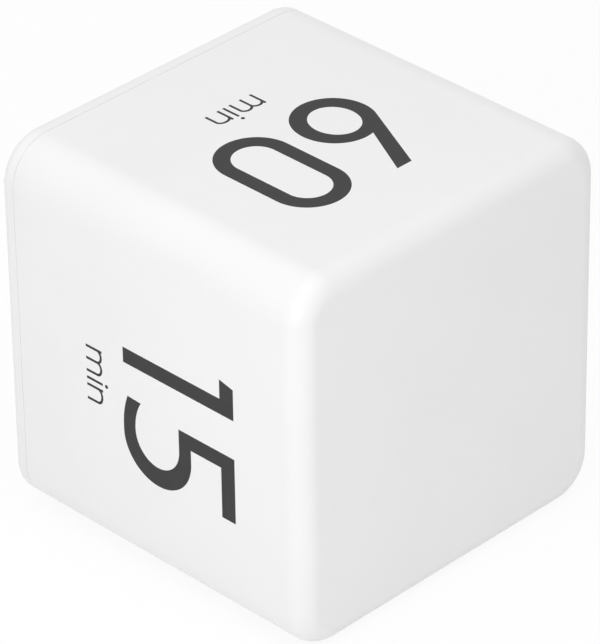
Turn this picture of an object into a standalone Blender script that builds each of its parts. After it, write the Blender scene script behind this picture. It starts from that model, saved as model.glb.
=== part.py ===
"""Cube-shaped countdown timer, turned so that the chosen number of minutes faces up.

Metres, +Z up. The origin is the centre of the face that it stands on. The blank front face
looks along -Y, the rear cover with the display, switch and battery door along +Y, and the
four numbered faces look along +Z, -X, -Z and +X.
"""

import math

import bmesh
import bpy
from mathutils import Matrix, Vector

MM = 0.001

# Clearances between separate pieces, and overlaps used while cutting and joining
GAP = 0.3 * MM
OVERRUN = 2.0 * MM
SINK = 0.2 * MM

# Case
CASE_DEPTH = 62.0 * MM
SIDE_RADIUS = 7.2 * MM
FRONT_RADIUS = 3.5 * MM
REAR_RADIUS = 1.6 * MM
WALL = 2.2 * MM
INNER_FILLET = 1.5 * MM
STIFFENER_WIDTH = 1.2 * MM
STIFFENER_HEIGHT = 1.4 * MM
COVER_THICKNESS = 2.8 * MM

# Lip and snap hooks that hold the rear cover in the housing
LIP_THICKNESS = 1.4 * MM
LIP_DEPTH = 3.0 * MM
HOOK_WIDTH = 6.0 * MM
HOOK_REACH = 4.6 * MM
HOOK_NOSE_LENGTH = 1.8 * MM
HOOK_NOSE_HEIGHT = 1.0 * MM
HOOK_SPREAD = 26.0 * MM
SIDE_HOOK_DROP = 17.0 * MM

# Cells, their contacts and the bay that holds them
CELL_LENGTH = 44.5 * MM
CELL_RADIUS = 5.25 * MM
CELL_SPACING = 0.7 * MM
CELL_CLEARANCE = 0.35 * MM
CELL_SHOULDER = 0.6 * MM
BUTTON_RADIUS = 1.9 * MM
BUTTON_HEIGHT = 1.0 * MM
SPRING_LENGTH = 3.6 * MM
SPRING_TURNS = 3
SPRING_TURN_POINTS = 10
SPRING_WIDE_RADIUS = 3.2 * MM
SPRING_NARROW_RADIUS = 1.9 * MM
SPRING_WIRE_RADIUS = 0.25 * MM
PLATE_THICKNESS = 0.4 * MM
PLATE_DEPTH = 7.4 * MM
PLATE_MARGIN = 0.5 * MM
PLATE_CORNER = 1.0 * MM
TAG_WIDTH = 2.5 * MM
TAG_LENGTH = 3.0 * MM
BAY_WALL = 1.8 * MM
BAY_TO_LIP = 0.6 * MM
BAY_SIDE_ROOM = 0.85 * MM
DOOR_LEDGE = 0.9 * MM

# Battery door
DOOR_THICKNESS = 1.8 * MM
DOOR_TO_CELL = 0.8 * MM
DOOR_CORNER = 1.6 * MM
TAB_WIDTH = 5.0 * MM
TAB_THICKNESS = 1.0 * MM
TAB_REACH = 1.4 * MM
TAB_NECK = 1.6 * MM
TAB_SPREAD = 32.0 * MM
TAB_SWING_ROOM = 0.4 * MM
TONGUE_WIDTH = 10.0 * MM
TONGUE_LENGTH = 7.0 * MM
TONGUE_SLOT = 0.8 * MM
CATCH_POST_DEPTH = 2.4 * MM
CATCH_POST_THICKNESS = 1.0 * MM
CATCH_DEPTH = 0.9 * MM
CATCH_BITE = 0.4 * MM
CATCH_LEDGE = 0.8 * MM
GRIP_WIDTH = 7.0 * MM
GRIP_HEIGHT = 4.4 * MM
GRIP_DEPTH = 0.7 * MM
GRIP_SETBACK = 1.1 * MM
GRIP_RIDGE = 0.7 * MM
PRESS_RIB_LENGTH = 30.0 * MM
PRESS_RIB_WIDTH = 1.4 * MM
PRESS_RIB_HEIGHT = 0.45 * MM

# Display
GLASS_WIDTH = 40.0 * MM
GLASS_HEIGHT = 16.4 * MM
GLASS_THICKNESS = 1.1 * MM
BACK_GLASS_THICKNESS = 1.3 * MM
CONTACT_LEDGE = 2.7 * MM
WINDOW_WIDTH = 33.0 * MM
WINDOW_HEIGHT = 11.4 * MM
WINDOW_CORNER = 0.8 * MM
LENS_BORDER = 1.5 * MM
LENS_THICKNESS = 1.0 * MM
LENS_CORNER = 1.4 * MM
DISPLAY_RIB = 1.3 * MM
ZEBRA_WIDTH = 36.0 * MM
ZEBRA_THICKNESS = 1.6 * MM

# Circuit board and what holds it
BOARD_WIDTH = 50.0 * MM
BOARD_THICKNESS = 1.6 * MM
BOARD_STANDOFF = 5.9 * MM
BOARD_TO_BAY = 1.3 * MM
BOARD_TO_LIP = 0.6 * MM
BOARD_CORNER = 1.5 * MM
BOSS_INSET_X = 2.0 * MM
BOSS_INSET_Z = 2.4 * MM
BOSS_RADIUS = 2.1 * MM
PILOT_RADIUS = 1.1 * MM
PILOT_DEPTH = 4.6 * MM
BOARD_HOLE_RADIUS = 1.15 * MM
SCREW_RADIUS = 0.8 * MM
SCREW_LENGTH = 5.2 * MM
SCREW_HEAD_RADIUS = 1.8 * MM
SCREW_HEAD_HEIGHT = 1.2 * MM
SCREW_RECESS_WIDTH = 0.5 * MM
SCREW_RECESS_LENGTH = 2.0 * MM
SCREW_RECESS_DEPTH = 0.6 * MM

# Slide switch, in one row with the sound holes between the door and the display
ROW_OFFSET = 14.0 * MM
ROW_HEIGHT = 10.6 * MM
SWITCH_LENGTH = 8.6 * MM
SWITCH_HEIGHT = 4.4 * MM
SWITCH_DEPTH = 3.6 * MM
SWITCH_SKIN = 0.5 * MM
SWITCH_TRAVEL = 2.5 * MM
LEVER_SIZE = 1.5 * MM
LEVER_FOOT_LENGTH = 3.0 * MM
LEVER_FOOT_DEPTH = 1.6 * MM
LEVER_REACH = 2.7 * MM
KNOB_LENGTH = 4.0 * MM
KNOB_HEIGHT = 2.8 * MM
KNOB_RECESS = 0.3 * MM
KNOB_CLEARANCE = 0.3 * MM
FLANGE_LENGTH = 10.0 * MM
FLANGE_HEIGHT = 5.4 * MM
FLANGE_THICKNESS = 0.7 * MM
DISH_LENGTH = 11.0 * MM
DISH_HEIGHT = 5.6 * MM
DISH_DEPTH = 0.8 * MM

# Buzzer
BUZZER_RADIUS = 4.5 * MM
BUZZER_HEIGHT = 2.3 * MM
BUZZER_PORT_RADIUS = 1.0 * MM
BUZZER_PORT_DEPTH = 1.2 * MM
FUNNEL_RADIUS = 3.3 * MM
FUNNEL_WALL = 0.9 * MM
FUNNEL_DEPTH = 3.0 * MM
SOUND_HOLE_RADIUS = 0.6 * MM
SOUND_HOLE_PITCH = 2.1 * MM
SOUND_HOLES = 6

# Gravity sensor: a ball that rolls round a circular chamber
SENSOR_SIDE = 9.4 * MM
SENSOR_WALL = 0.7 * MM
SENSOR_BASE = 0.9 * MM
SENSOR_X = 4.0 * MM
SENSOR_Z_DROP = 6.0 * MM
BALL_RADIUS = 1.5 * MM
PIN_RADIUS = 0.3 * MM
PIN_INSET = 1.4 * MM

# Small parts on the board's inner face
BLOB_RADIUS = 5.5 * MM
BLOB_HEIGHT = 1.7 * MM
BLOB_X = -9.0 * MM
BLOB_Z_DROP = 11.5 * MM
CRYSTAL_RADIUS = 1.0 * MM
CRYSTAL_LENGTH = 6.2 * MM
CRYSTAL_X = 5.0 * MM
CRYSTAL_DROP = 4.0 * MM
CAPACITOR_RADIUS = 2.0 * MM
CAPACITOR_HEIGHT = 5.4 * MM
CAPACITOR_X = -19.5 * MM
CHIP_LENGTH = 2.0 * MM
CHIP_WIDTH = 1.25 * MM
CHIP_HEIGHT = 0.6 * MM
CHIP_PITCH = 3.4 * MM
CHIP_X = 14.0 * MM
CHIP_DROP = 6.0 * MM
CHIP_COUNT = 3

# Battery leads
LEAD_RADIUS = 0.5 * MM
LEAD_STEPS = 28
RED_PAD_X = 19.0 * MM
BLACK_PAD_X = 14.5 * MM
LEAD_DROP = 1.8 * MM
LEAD_PAD_RISE = 4.0 * MM

# Facets
CORNER_STEPS = 10
FILLET_STEPS = 5
SMALL_STEPS = 3
ROUND_SIDES = 24
SMALL_SIDES = 12

# Places that follow from the sizes
REAR_Y = CASE_DEPTH / 2
FRONT_Y = -CASE_DEPTH / 2
COVER_INNER_Y = REAR_Y - COVER_THICKNESS
RIM_Y = COVER_INNER_Y - GAP
LIP_OUTSET = WALL + GAP
LIP_INSET = LIP_OUTSET + LIP_THICKNESS
LIP_END_Y = COVER_INNER_Y - LIP_DEPTH
HOOK_END_Y = LIP_END_Y - HOOK_REACH

TROUGH_RADIUS = CELL_RADIUS + CELL_CLEARANCE
BAY_LOW_Z = LIP_INSET + BAY_TO_LIP
LOWER_CELL_Z = BAY_LOW_Z + BAY_WALL + TROUGH_RADIUS
UPPER_CELL_Z = LOWER_CELL_Z + 2 * CELL_RADIUS + CELL_SPACING
BAY_HIGH_Z = UPPER_CELL_Z + TROUGH_RADIUS + BAY_WALL
CELL_Y = REAR_Y - DOOR_THICKNESS - DOOR_TO_CELL - CELL_RADIUS
PLATE_X = (CELL_LENGTH + SPRING_LENGTH + 3 * GAP) / 2
BAY_HALF_X = PLATE_X + PLATE_THICKNESS + GAP
PLATE_HIGH_Y = CELL_Y + PLATE_DEPTH / 2
PLATE_LOW_Y = CELL_Y - PLATE_DEPTH / 2
POCKET_LOW_Y = PLATE_LOW_Y - GAP
TAG_END_Y = CELL_Y - TROUGH_RADIUS - BAY_WALL - TAG_LENGTH

# The case is a cube as wide as the bay needs, or as tall as bay, row and display need
DISPLAY_STACK = GLASS_HEIGHT + DISPLAY_RIB + GAP + LIP_INSET
BAY_STACK = BAY_HIGH_Z - BAY_WALL + DOOR_LEDGE + TAB_REACH
BAY_SPAN = 2 * (BAY_HALF_X + BAY_WALL + BAY_SIDE_ROOM + LIP_INSET)
CASE_SIDE = max(BAY_SPAN, BAY_STACK + ROW_HEIGHT + DISPLAY_STACK)
HALF_SIDE = CASE_SIDE / 2

DOOR_SEAT_Y = REAR_Y - DOOR_THICKNESS - GAP
OPENING_HALF_X = BAY_HALF_X + DOOR_LEDGE
OPENING_LOW_Z = BAY_LOW_Z + BAY_WALL - DOOR_LEDGE
OPENING_HIGH_Z = BAY_HIGH_Z - BAY_WALL + DOOR_LEDGE
DOOR_HALF_X = OPENING_HALF_X - GAP
DOOR_LOW_Z = OPENING_LOW_Z + GAP
DOOR_HIGH_Z = OPENING_HIGH_Z - GAP
DOOR_INNER_Y = REAR_Y - DOOR_THICKNESS
HINGE = Vector((0, REAR_Y, OPENING_HIGH_Z))
TAB_HIGH_Y = COVER_INNER_Y - GAP
TAB_LOW_Y = TAB_HIGH_Y - TAB_THICKNESS
TAB_TIP_Z = OPENING_HIGH_Z + TAB_REACH
TAB_SWEEP_Y = REAR_Y - math.hypot(REAR_Y - TAB_LOW_Y, TAB_REACH)
CATCH_WALL_Z = BAY_LOW_Z + BAY_WALL
CATCH_POST_Z = CATCH_WALL_Z + GAP
CATCH_HIGH_Y = DOOR_SEAT_Y - CATCH_LEDGE - GAP
CATCH_LOW_Y = CATCH_HIGH_Y - CATCH_DEPTH

LIP_HIGH_Z = CASE_SIDE - LIP_INSET
GLASS_HIGH_Z = LIP_HIGH_Z - DISPLAY_RIB - GAP
GLASS_LOW_Z = GLASS_HIGH_Z - GLASS_HEIGHT
BACK_GLASS_HIGH_Z = GLASS_HIGH_Z - CONTACT_LEDGE
WINDOW_Z = (GLASS_LOW_Z + BACK_GLASS_HIGH_Z) / 2
GLASS_REAR_Y = COVER_INNER_Y - GAP
GLASS_MIDDLE_Y = GLASS_REAR_Y - GLASS_THICKNESS
GLASS_FRONT_Y = GLASS_MIDDLE_Y - BACK_GLASS_THICKNESS
LENS_SEAT_Y = REAR_Y - LENS_THICKNESS - GAP
ZEBRA_Z = GLASS_HIGH_Z - CONTACT_LEDGE / 2

BOARD_REAR_Y = COVER_INNER_Y - BOARD_STANDOFF
BOARD_FRONT_Y = BOARD_REAR_Y - BOARD_THICKNESS
BOARD_LOW_Z = BAY_HIGH_Z + BOARD_TO_BAY
BOARD_HIGH_Z = LIP_HIGH_Z - BOARD_TO_LIP
BOARD_HALF_X = BOARD_WIDTH / 2
BOSS_X = BOARD_HALF_X - BOSS_INSET_X
BOSS_LOW_Z = BOARD_LOW_Z + BOSS_INSET_Z
BOSS_HIGH_Z = BOARD_HIGH_Z - BOSS_INSET_Z
BOSS_END_Y = BOARD_REAR_Y + GAP
PART_Y = BOARD_FRONT_Y - GAP

ROW_Z = (TAB_TIP_Z + GLASS_LOW_Z) / 2
SWITCH_LOW_Y = BOARD_REAR_Y + GAP
SWITCH_HIGH_Y = SWITCH_LOW_Y + SWITCH_DEPTH
KNOB_X = ROW_OFFSET - SWITCH_TRAVEL / 2
FLANGE_HIGH_Y = COVER_INNER_Y - GAP
FLANGE_LOW_Y = FLANGE_HIGH_Y - FLANGE_THICKNESS
KNOB_TOP_Y = REAR_Y - KNOB_RECESS
LEVER_TOP_Y = SWITCH_HIGH_Y + LEVER_REACH

SENSOR_Z = BOARD_HIGH_Z - SENSOR_Z_DROP - SENSOR_SIDE
SENSOR_BASE_Y = PART_Y - SENSOR_BASE
SENSOR_CUP_Y = SENSOR_BASE_Y - GAP
CHAMBER_DEPTH = 2 * (BALL_RADIUS + GAP)
CHAMBER_RADIUS = SENSOR_SIDE / 2 - SENSOR_WALL
BALL_ORBIT = CHAMBER_RADIUS - BALL_RADIUS - GAP
BALL_Y = SENSOR_CUP_Y - BALL_RADIUS - GAP


def clear_scene():
    for old in list(bpy.data.objects):
        bpy.data.objects.remove(old, do_unlink=True)


def plastic(name, colour, roughness, metallic=0.0, alpha=1.0):
    """A Principled material in the piece's own colour."""
    made = bpy.data.materials.new(name)
    made.use_nodes = True
    shader = made.node_tree.nodes["Principled BSDF"]
    shader.inputs["Base Color"].default_value = (*colour, 1.0)
    shader.inputs["Roughness"].default_value = roughness
    shader.inputs["Metallic"].default_value = metallic
    shader.inputs["Alpha"].default_value = alpha
    made.diffuse_color = (*colour, alpha)
    return made


def make_object(name, shape):
    """Turns a bmesh into an object and frees it."""
    bmesh.ops.recalc_face_normals(shape, faces=shape.faces[:])
    mesh = bpy.data.meshes.new(name)
    shape.to_mesh(mesh)
    shape.free()
    made = bpy.data.objects.new(name, mesh)
    bpy.context.scene.collection.objects.link(made)
    return made


def to_axis(axis, along, first, second):
    """A point from its place along an axis and its two other coordinates in X, Y, Z order."""
    if axis == "X":
        return Vector((along, first, second))
    if axis == "Y":
        return Vector((first, along, second))
    return Vector((first, second, along))


def extruded(name, outline, axis, start, end):
    """A flat outline drawn across an axis and extruded along it from start to end."""
    shape = bmesh.new()
    corners = [shape.verts.new(to_axis(axis, start, *point)) for point in outline]
    face = shape.faces.new(corners)
    grown = bmesh.ops.extrude_face_region(shape, geom=[face])["geom"]
    moved = [item for item in grown if isinstance(item, bmesh.types.BMVert)]
    bmesh.ops.translate(shape, verts=moved, vec=to_axis(axis, end - start, 0, 0))
    return make_object(name, shape)


def arc(centre, radius, start, end, steps):
    """Points on an arc, by angles in degrees from the first coordinate towards the second."""
    turn = [math.radians(start + (end - start) * i / steps) for i in range(steps + 1)]
    return [(centre[0] + radius * math.cos(a), centre[1] + radius * math.sin(a)) for a in turn]


def rounded_outline(low, high, radius, steps):
    """A rectangle from low to high corner with round corners."""
    left, right = low[0] + radius, high[0] - radius
    bottom, top = low[1] + radius, high[1] - radius
    return (
        arc((right, top), radius, 0, 90, steps)
        + arc((left, top), radius, 90, 180, steps)
        + arc((left, bottom), radius, 180, 270, steps)
        + arc((right, bottom), radius, 270, 360, steps)
    )


def case_outline(inset, steps=CORNER_STEPS):
    """The case's square outline with round corners, drawn in by an inset."""
    reach = HALF_SIDE - inset
    radius = max(SIDE_RADIUS - inset, SINK)
    return rounded_outline((-reach, inset), (reach, CASE_SIDE - inset), radius, steps)


def box(name, low, high):
    shape = bmesh.new()
    bmesh.ops.create_cube(shape, size=1)
    low, high = Vector(low), Vector(high)
    size = Matrix.Diagonal((*(high - low), 1))
    bmesh.ops.transform(shape, matrix=Matrix.Translation((low + high) / 2) @ size, verts=shape.verts)
    return make_object(name, shape)


def cylinder(name, axis, centre, radius, start, end, sides=ROUND_SIDES):
    """A round bar along an axis; centre holds its two other coordinates."""
    outline = arc(centre, radius, 0, 360, sides)[:-1]
    return extruded(name, outline, axis, start, end)


def turned(name, profile, steps=ROUND_SIDES):
    """A profile of (radius, height) points turned round +Z, at the origin."""
    shape = bmesh.new()
    points = [shape.verts.new((radius, 0, height)) for radius, height in profile]
    edges = [shape.edges.new(pair) for pair in zip(points, points[1:])]
    bmesh.ops.spin(
        shape,
        geom=points + edges,
        axis=(0, 0, 1),
        cent=(0, 0, 0),
        angle=math.tau,
        steps=steps,
        use_merge=True,
    )
    bmesh.ops.remove_doubles(shape, verts=shape.verts, dist=SINK / 100)
    return make_object(name, shape)


def moved(piece, matrix):
    piece.data.transform(matrix)
    return piece


def pointing(direction, place):
    """A matrix that turns +Z to a direction and carries the origin to a place."""
    turn = Vector(direction).to_track_quat("Z", "Y").to_matrix().to_4x4()
    return Matrix.Translation(place) @ turn


def combine(piece, tool, operation):
    """Joins a tool to a piece or cuts it from it, and removes the tool."""
    change = piece.modifiers.new("change", "BOOLEAN")
    change.operation = operation
    change.solver = "EXACT"
    change.object = tool
    bpy.context.view_layer.update()
    graph = bpy.context.evaluated_depsgraph_get()
    result = bpy.data.meshes.new_from_object(piece.evaluated_get(graph))
    piece.modifiers.clear()
    piece.data = result
    bpy.data.objects.remove(tool, do_unlink=True)
    return piece


def joined(piece, *tools):
    for tool in tools:
        combine(piece, tool, "UNION")
    return piece


def cut(piece, *tools):
    for tool in tools:
        combine(piece, tool, "DIFFERENCE")
    return piece


def round_off(piece, radius, steps, keep):
    """Rounds the edges for which keep(start, end, faces) is true."""
    shape = bmesh.new()
    shape.from_mesh(piece.data)
    chosen = [e for e in shape.edges if keep(e.verts[0].co, e.verts[1].co, e.link_faces)]
    bmesh.ops.bevel(
        shape,
        geom=chosen,
        offset=radius,
        offset_type="OFFSET",
        segments=steps,
        profile=0.5,
        affect="EDGES",
        clamp_overlap=False,
        material=-1,
    )
    shape.to_mesh(piece.data)
    shape.free()
    return piece


def at_level(axis, level):
    """Picks the edges that lie in the plane where a coordinate has one value."""
    index = "XYZ".index(axis)

    def keep(start, end, _faces):
        return abs(start[index] - level) < SINK / 10 and abs(end[index] - level) < SINK / 10

    return keep


def finish(piece, material, origin=(0, 0, 0), smooth=40):
    """Gives a finished piece its material, its origin and its shading."""
    origin = Vector(origin)
    piece.data.transform(Matrix.Translation(-origin))
    piece.location = origin
    piece.data.materials.clear()
    piece.data.materials.append(material)
    piece.data.shade_smooth()
    piece.data.set_sharp_from_angle(angle=math.radians(smooth))
    return piece


def hook_places():
    """Where the snap hooks stand: (place along the wall, wall)."""
    spread = HOOK_SPREAD / 2
    middle = CASE_SIDE - SIDE_HOOK_DROP
    return [(-spread, "top"), (spread, "top"), (-spread, "bottom"), (spread, "bottom"),
            (middle, "left"), (middle, "right")]


def wall_box(name, place, wall, width, outer, inner, start, end):
    """A box beside one wall: outer and inner are its distances in from the case's surface."""
    low, high = place - width / 2, place + width / 2
    if wall == "bottom":
        return box(name, (low, start, outer), (high, end, inner))
    if wall == "top":
        return box(name, (low, start, CASE_SIDE - inner), (high, end, CASE_SIDE - outer))
    if wall == "left":
        return box(name, (outer - HALF_SIDE, start, low), (inner - HALF_SIDE, end, high))
    return box(name, (HALF_SIDE - inner, start, low), (HALF_SIDE - outer, end, high))


def make_housing(material):
    """The five-walled shell: four numbered walls and the blank front, open at the rear."""
    housing = extruded("housing", case_outline(0), "Y", FRONT_Y, RIM_Y)
    round_off(housing, FRONT_RADIUS, FILLET_STEPS, at_level("Y", FRONT_Y))
    hollow = extruded("hollow", case_outline(WALL), "Y", FRONT_Y + WALL, RIM_Y + OVERRUN)
    round_off(hollow, INNER_FILLET, SMALL_STEPS, at_level("Y", FRONT_Y + WALL))
    cut(housing, hollow)
    for place, wall in ((0, "top"), (0, "bottom"), (HALF_SIDE, "left"), (HALF_SIDE, "right")):
        outer, inner = WALL - SINK, WALL + STIFFENER_HEIGHT
        start, end = FRONT_Y + WALL - SINK, LIP_END_Y - GAP
        rib = wall_box("stiffener", place, wall, STIFFENER_WIDTH, outer, inner, start, end)
        joined(housing, rib)
    nose_start = HOOK_END_Y - GAP
    nose_end = HOOK_END_Y + HOOK_NOSE_LENGTH + GAP
    reach = LIP_OUTSET - HOOK_NOSE_HEIGHT - GAP
    for place, wall in hook_places():
        width = HOOK_WIDTH + 2 * GAP
        cut(housing, wall_box("pocket", place, wall, width, reach, LIP_INSET, nose_start, nose_end))
    return finish(housing, material)


def bay_outline(radius, top):
    """The two cell troughs side by side, as (y, z) points, open upwards to a level."""
    half_pitch = (UPPER_CELL_Z - LOWER_CELL_Z) / 2
    lean = math.degrees(math.acos(min(half_pitch / radius, 1)))
    lower, upper = (CELL_Y, LOWER_CELL_Z), (CELL_Y, UPPER_CELL_Z)
    steps = CORNER_STEPS
    return (
        [(top, LOWER_CELL_Z - radius)]
        + arc(lower, radius, -90, -270 + lean, steps)
        + arc(upper, radius, -90 - lean, -270, steps)[1:]
        + [(top, UPPER_CELL_Z + radius)]
    )


def add_lip_and_hooks(cover):
    lip_start, lip_end = LIP_END_Y, COVER_INNER_Y + SINK
    lip = extruded("lip", case_outline(LIP_OUTSET), "Y", lip_start, lip_end)
    core = extruded("core", case_outline(LIP_INSET), "Y", lip_start - OVERRUN, lip_end + OVERRUN)
    joined(cover, cut(lip, core))
    for place, wall in hook_places():
        root = LIP_END_Y + SINK
        arm = wall_box("arm", place, wall, HOOK_WIDTH, LIP_OUTSET, LIP_INSET, HOOK_END_Y, root)
        tip = HOOK_END_Y + HOOK_NOSE_LENGTH
        reach = LIP_OUTSET - HOOK_NOSE_HEIGHT
        nose = wall_box("nose", place, wall, HOOK_WIDTH, reach, LIP_OUTSET + SINK, HOOK_END_Y, tip)
        joined(cover, joined(arm, nose))


def add_bay(cover):
    """The battery bay: double trough, door opening, contact pockets and tag slots."""
    outer_x = BAY_HALF_X + BAY_WALL
    outline = bay_outline(TROUGH_RADIUS + BAY_WALL, COVER_INNER_Y + SINK)
    joined(cover, extruded("bay", outline, "X", -outer_x, outer_x))
    trough = bay_outline(TROUGH_RADIUS, DOOR_SEAT_Y + SINK)
    cut(cover, extruded("trough", trough, "X", GAP - PLATE_X, PLATE_X - GAP))
    low, high = (-OPENING_HALF_X, OPENING_LOW_Z), (OPENING_HALF_X, OPENING_HIGH_Z)
    opening = rounded_outline(low, high, DOOR_CORNER, SMALL_STEPS)
    cut(cover, extruded("opening", opening, "Y", DOOR_SEAT_Y, REAR_Y + OVERRUN))
    for side in (-1, 1):
        ends = sorted((side * (PLATE_X - GAP - SINK), side * BAY_HALF_X))
        low = (ends[0], POCKET_LOW_Y, LOWER_CELL_Z - TROUGH_RADIUS)
        high = (ends[1], DOOR_SEAT_Y + SINK, UPPER_CELL_Z + TROUGH_RADIUS)
        cut(cover, box("contact_pocket", low, high))
    for middle in (LOWER_CELL_Z, UPPER_CELL_Z):
        half = TAG_WIDTH / 2 + GAP
        low = (PLATE_X - GAP, TAG_END_Y, middle - half)
        high = (PLATE_X + PLATE_THICKNESS + GAP, POCKET_LOW_Y + SINK, middle + half)
        cut(cover, box("tag_slot", low, high))
    half = TONGUE_WIDTH / 2 + GAP
    low = (-half, CATCH_LOW_Y - GAP, CATCH_WALL_Z - CATCH_BITE - GAP)
    cut(cover, box("catch_slot", low, (half, CATCH_HIGH_Y + GAP, CATCH_WALL_Z + SINK)))
    for side in (-1, 1):
        half = TAB_WIDTH / 2 + TAB_SWING_ROOM
        left, right = side * TAB_SPREAD / 2 - half, side * TAB_SPREAD / 2 + half
        low = (left, TAB_SWEEP_Y - TAB_SWING_ROOM, BAY_HIGH_Z - BAY_WALL - SINK)
        cut(cover, box("tab_window", low, (right, COVER_INNER_Y, BAY_HIGH_Z + SINK)))
        cut(cover, box("neck_window", low, (right, DOOR_SEAT_Y + SINK, OPENING_HIGH_Z)))


def add_display_seat(cover):
    """Window, lens recess and the ribs that hold the glass."""
    half = GLASS_WIDTH / 2 + GAP
    low, high = GLASS_LOW_Z - GAP, GLASS_HIGH_Z + GAP
    start, end = GLASS_MIDDLE_Y - BACK_GLASS_THICKNESS, COVER_INNER_Y + SINK
    outer = half + DISPLAY_RIB
    frame = box("frame", (-outer, start, low - DISPLAY_RIB), (outer, end, LIP_HIGH_Z + SINK))
    seat = box("seat", (-half, start - OVERRUN, low), (half, end + OVERRUN, high))
    joined(cover, cut(frame, seat))
    reach_x, reach_z = WINDOW_WIDTH / 2, WINDOW_HEIGHT / 2
    low, high = (-reach_x, WINDOW_Z - reach_z), (reach_x, WINDOW_Z + reach_z)
    window = rounded_outline(low, high, WINDOW_CORNER, SMALL_STEPS)
    cut(cover, extruded("window", window, "Y", COVER_INNER_Y - OVERRUN, REAR_Y + OVERRUN))
    cut(cover, extruded("lens_recess", lens_outline(GAP), "Y", LENS_SEAT_Y, REAR_Y + OVERRUN))


def lens_outline(clearance):
    reach_x = WINDOW_WIDTH / 2 + LENS_BORDER + clearance
    reach_z = WINDOW_HEIGHT / 2 + LENS_BORDER + clearance
    low, high = (-reach_x, WINDOW_Z - reach_z), (reach_x, WINDOW_Z + reach_z)
    return rounded_outline(low, high, LENS_CORNER + clearance, SMALL_STEPS)


def boss_places():
    return [(x, z) for x in (-BOSS_X, BOSS_X) for z in (BOSS_LOW_Z, BOSS_HIGH_Z)]


def add_bosses(cover):
    for x, z in boss_places():
        end = COVER_INNER_Y + SINK
        joined(cover, cylinder("boss", "Y", (x, z), BOSS_RADIUS, BOSS_END_Y, end, SMALL_SIDES))
    for x, z in boss_places():
        start, end = BOSS_END_Y - OVERRUN, BOSS_END_Y + PILOT_DEPTH
        cut(cover, cylinder("pilot", "Y", (x, z), PILOT_RADIUS, start, end, SMALL_SIDES))


def add_switch_slot(cover):
    """A shallow oblong dish for the fingertip, with the knob's slot in its floor."""
    centre = ROW_OFFSET
    dish = slot_outline(centre, DISH_LENGTH, DISH_HEIGHT)
    cut(cover, extruded("dish", dish, "Y", REAR_Y - DISH_DEPTH, REAR_Y + OVERRUN))
    reach_x = (KNOB_LENGTH + SWITCH_TRAVEL) / 2 + GAP
    reach_z = KNOB_HEIGHT / 2 + GAP
    low = (centre - reach_x, COVER_INNER_Y - OVERRUN, ROW_Z - reach_z)
    high = (centre + reach_x, REAR_Y, ROW_Z + reach_z)
    cut(cover, box("slot", low, high))


def slot_outline(centre_x, length, height):
    """An oblong with round ends in the switch and sound-hole row."""
    radius = height / 2
    low = (centre_x - length / 2, ROW_Z - radius)
    high = (centre_x + length / 2, ROW_Z + radius)
    return rounded_outline(low, high, radius - SINK, CORNER_STEPS // 2)


def add_sound_holes(cover):
    """A ring of sound holes round a middle one, and the funnel behind them."""
    centre = (-ROW_OFFSET, ROW_Z)
    start, end = COVER_INNER_Y - FUNNEL_DEPTH, COVER_INNER_Y + SINK
    funnel = cylinder("funnel", "Y", centre, FUNNEL_RADIUS + FUNNEL_WALL, start, end)
    bore = cylinder("bore", "Y", centre, FUNNEL_RADIUS, start - OVERRUN, end + OVERRUN)
    joined(cover, cut(funnel, bore))
    around = arc(centre, SOUND_HOLE_PITCH, 0, 360, SOUND_HOLES)[:-1]
    for place in [centre] + around:
        start, end = COVER_INNER_Y - OVERRUN, REAR_Y + OVERRUN
        cut(cover, cylinder("hole", "Y", place, SOUND_HOLE_RADIUS, start, end, SMALL_SIDES))


def make_rear_cover(material):
    """The snap-in rear plate that carries everything inside the case."""
    cover = extruded("rear_cover", case_outline(0), "Y", COVER_INNER_Y, REAR_Y)
    round_off(cover, REAR_RADIUS, FILLET_STEPS, at_level("Y", REAR_Y))
    add_lip_and_hooks(cover)
    add_bay(cover)
    add_display_seat(cover)
    add_bosses(cover)
    add_switch_slot(cover)
    add_sound_holes(cover)
    return finish(cover, material, smooth=30)


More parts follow.
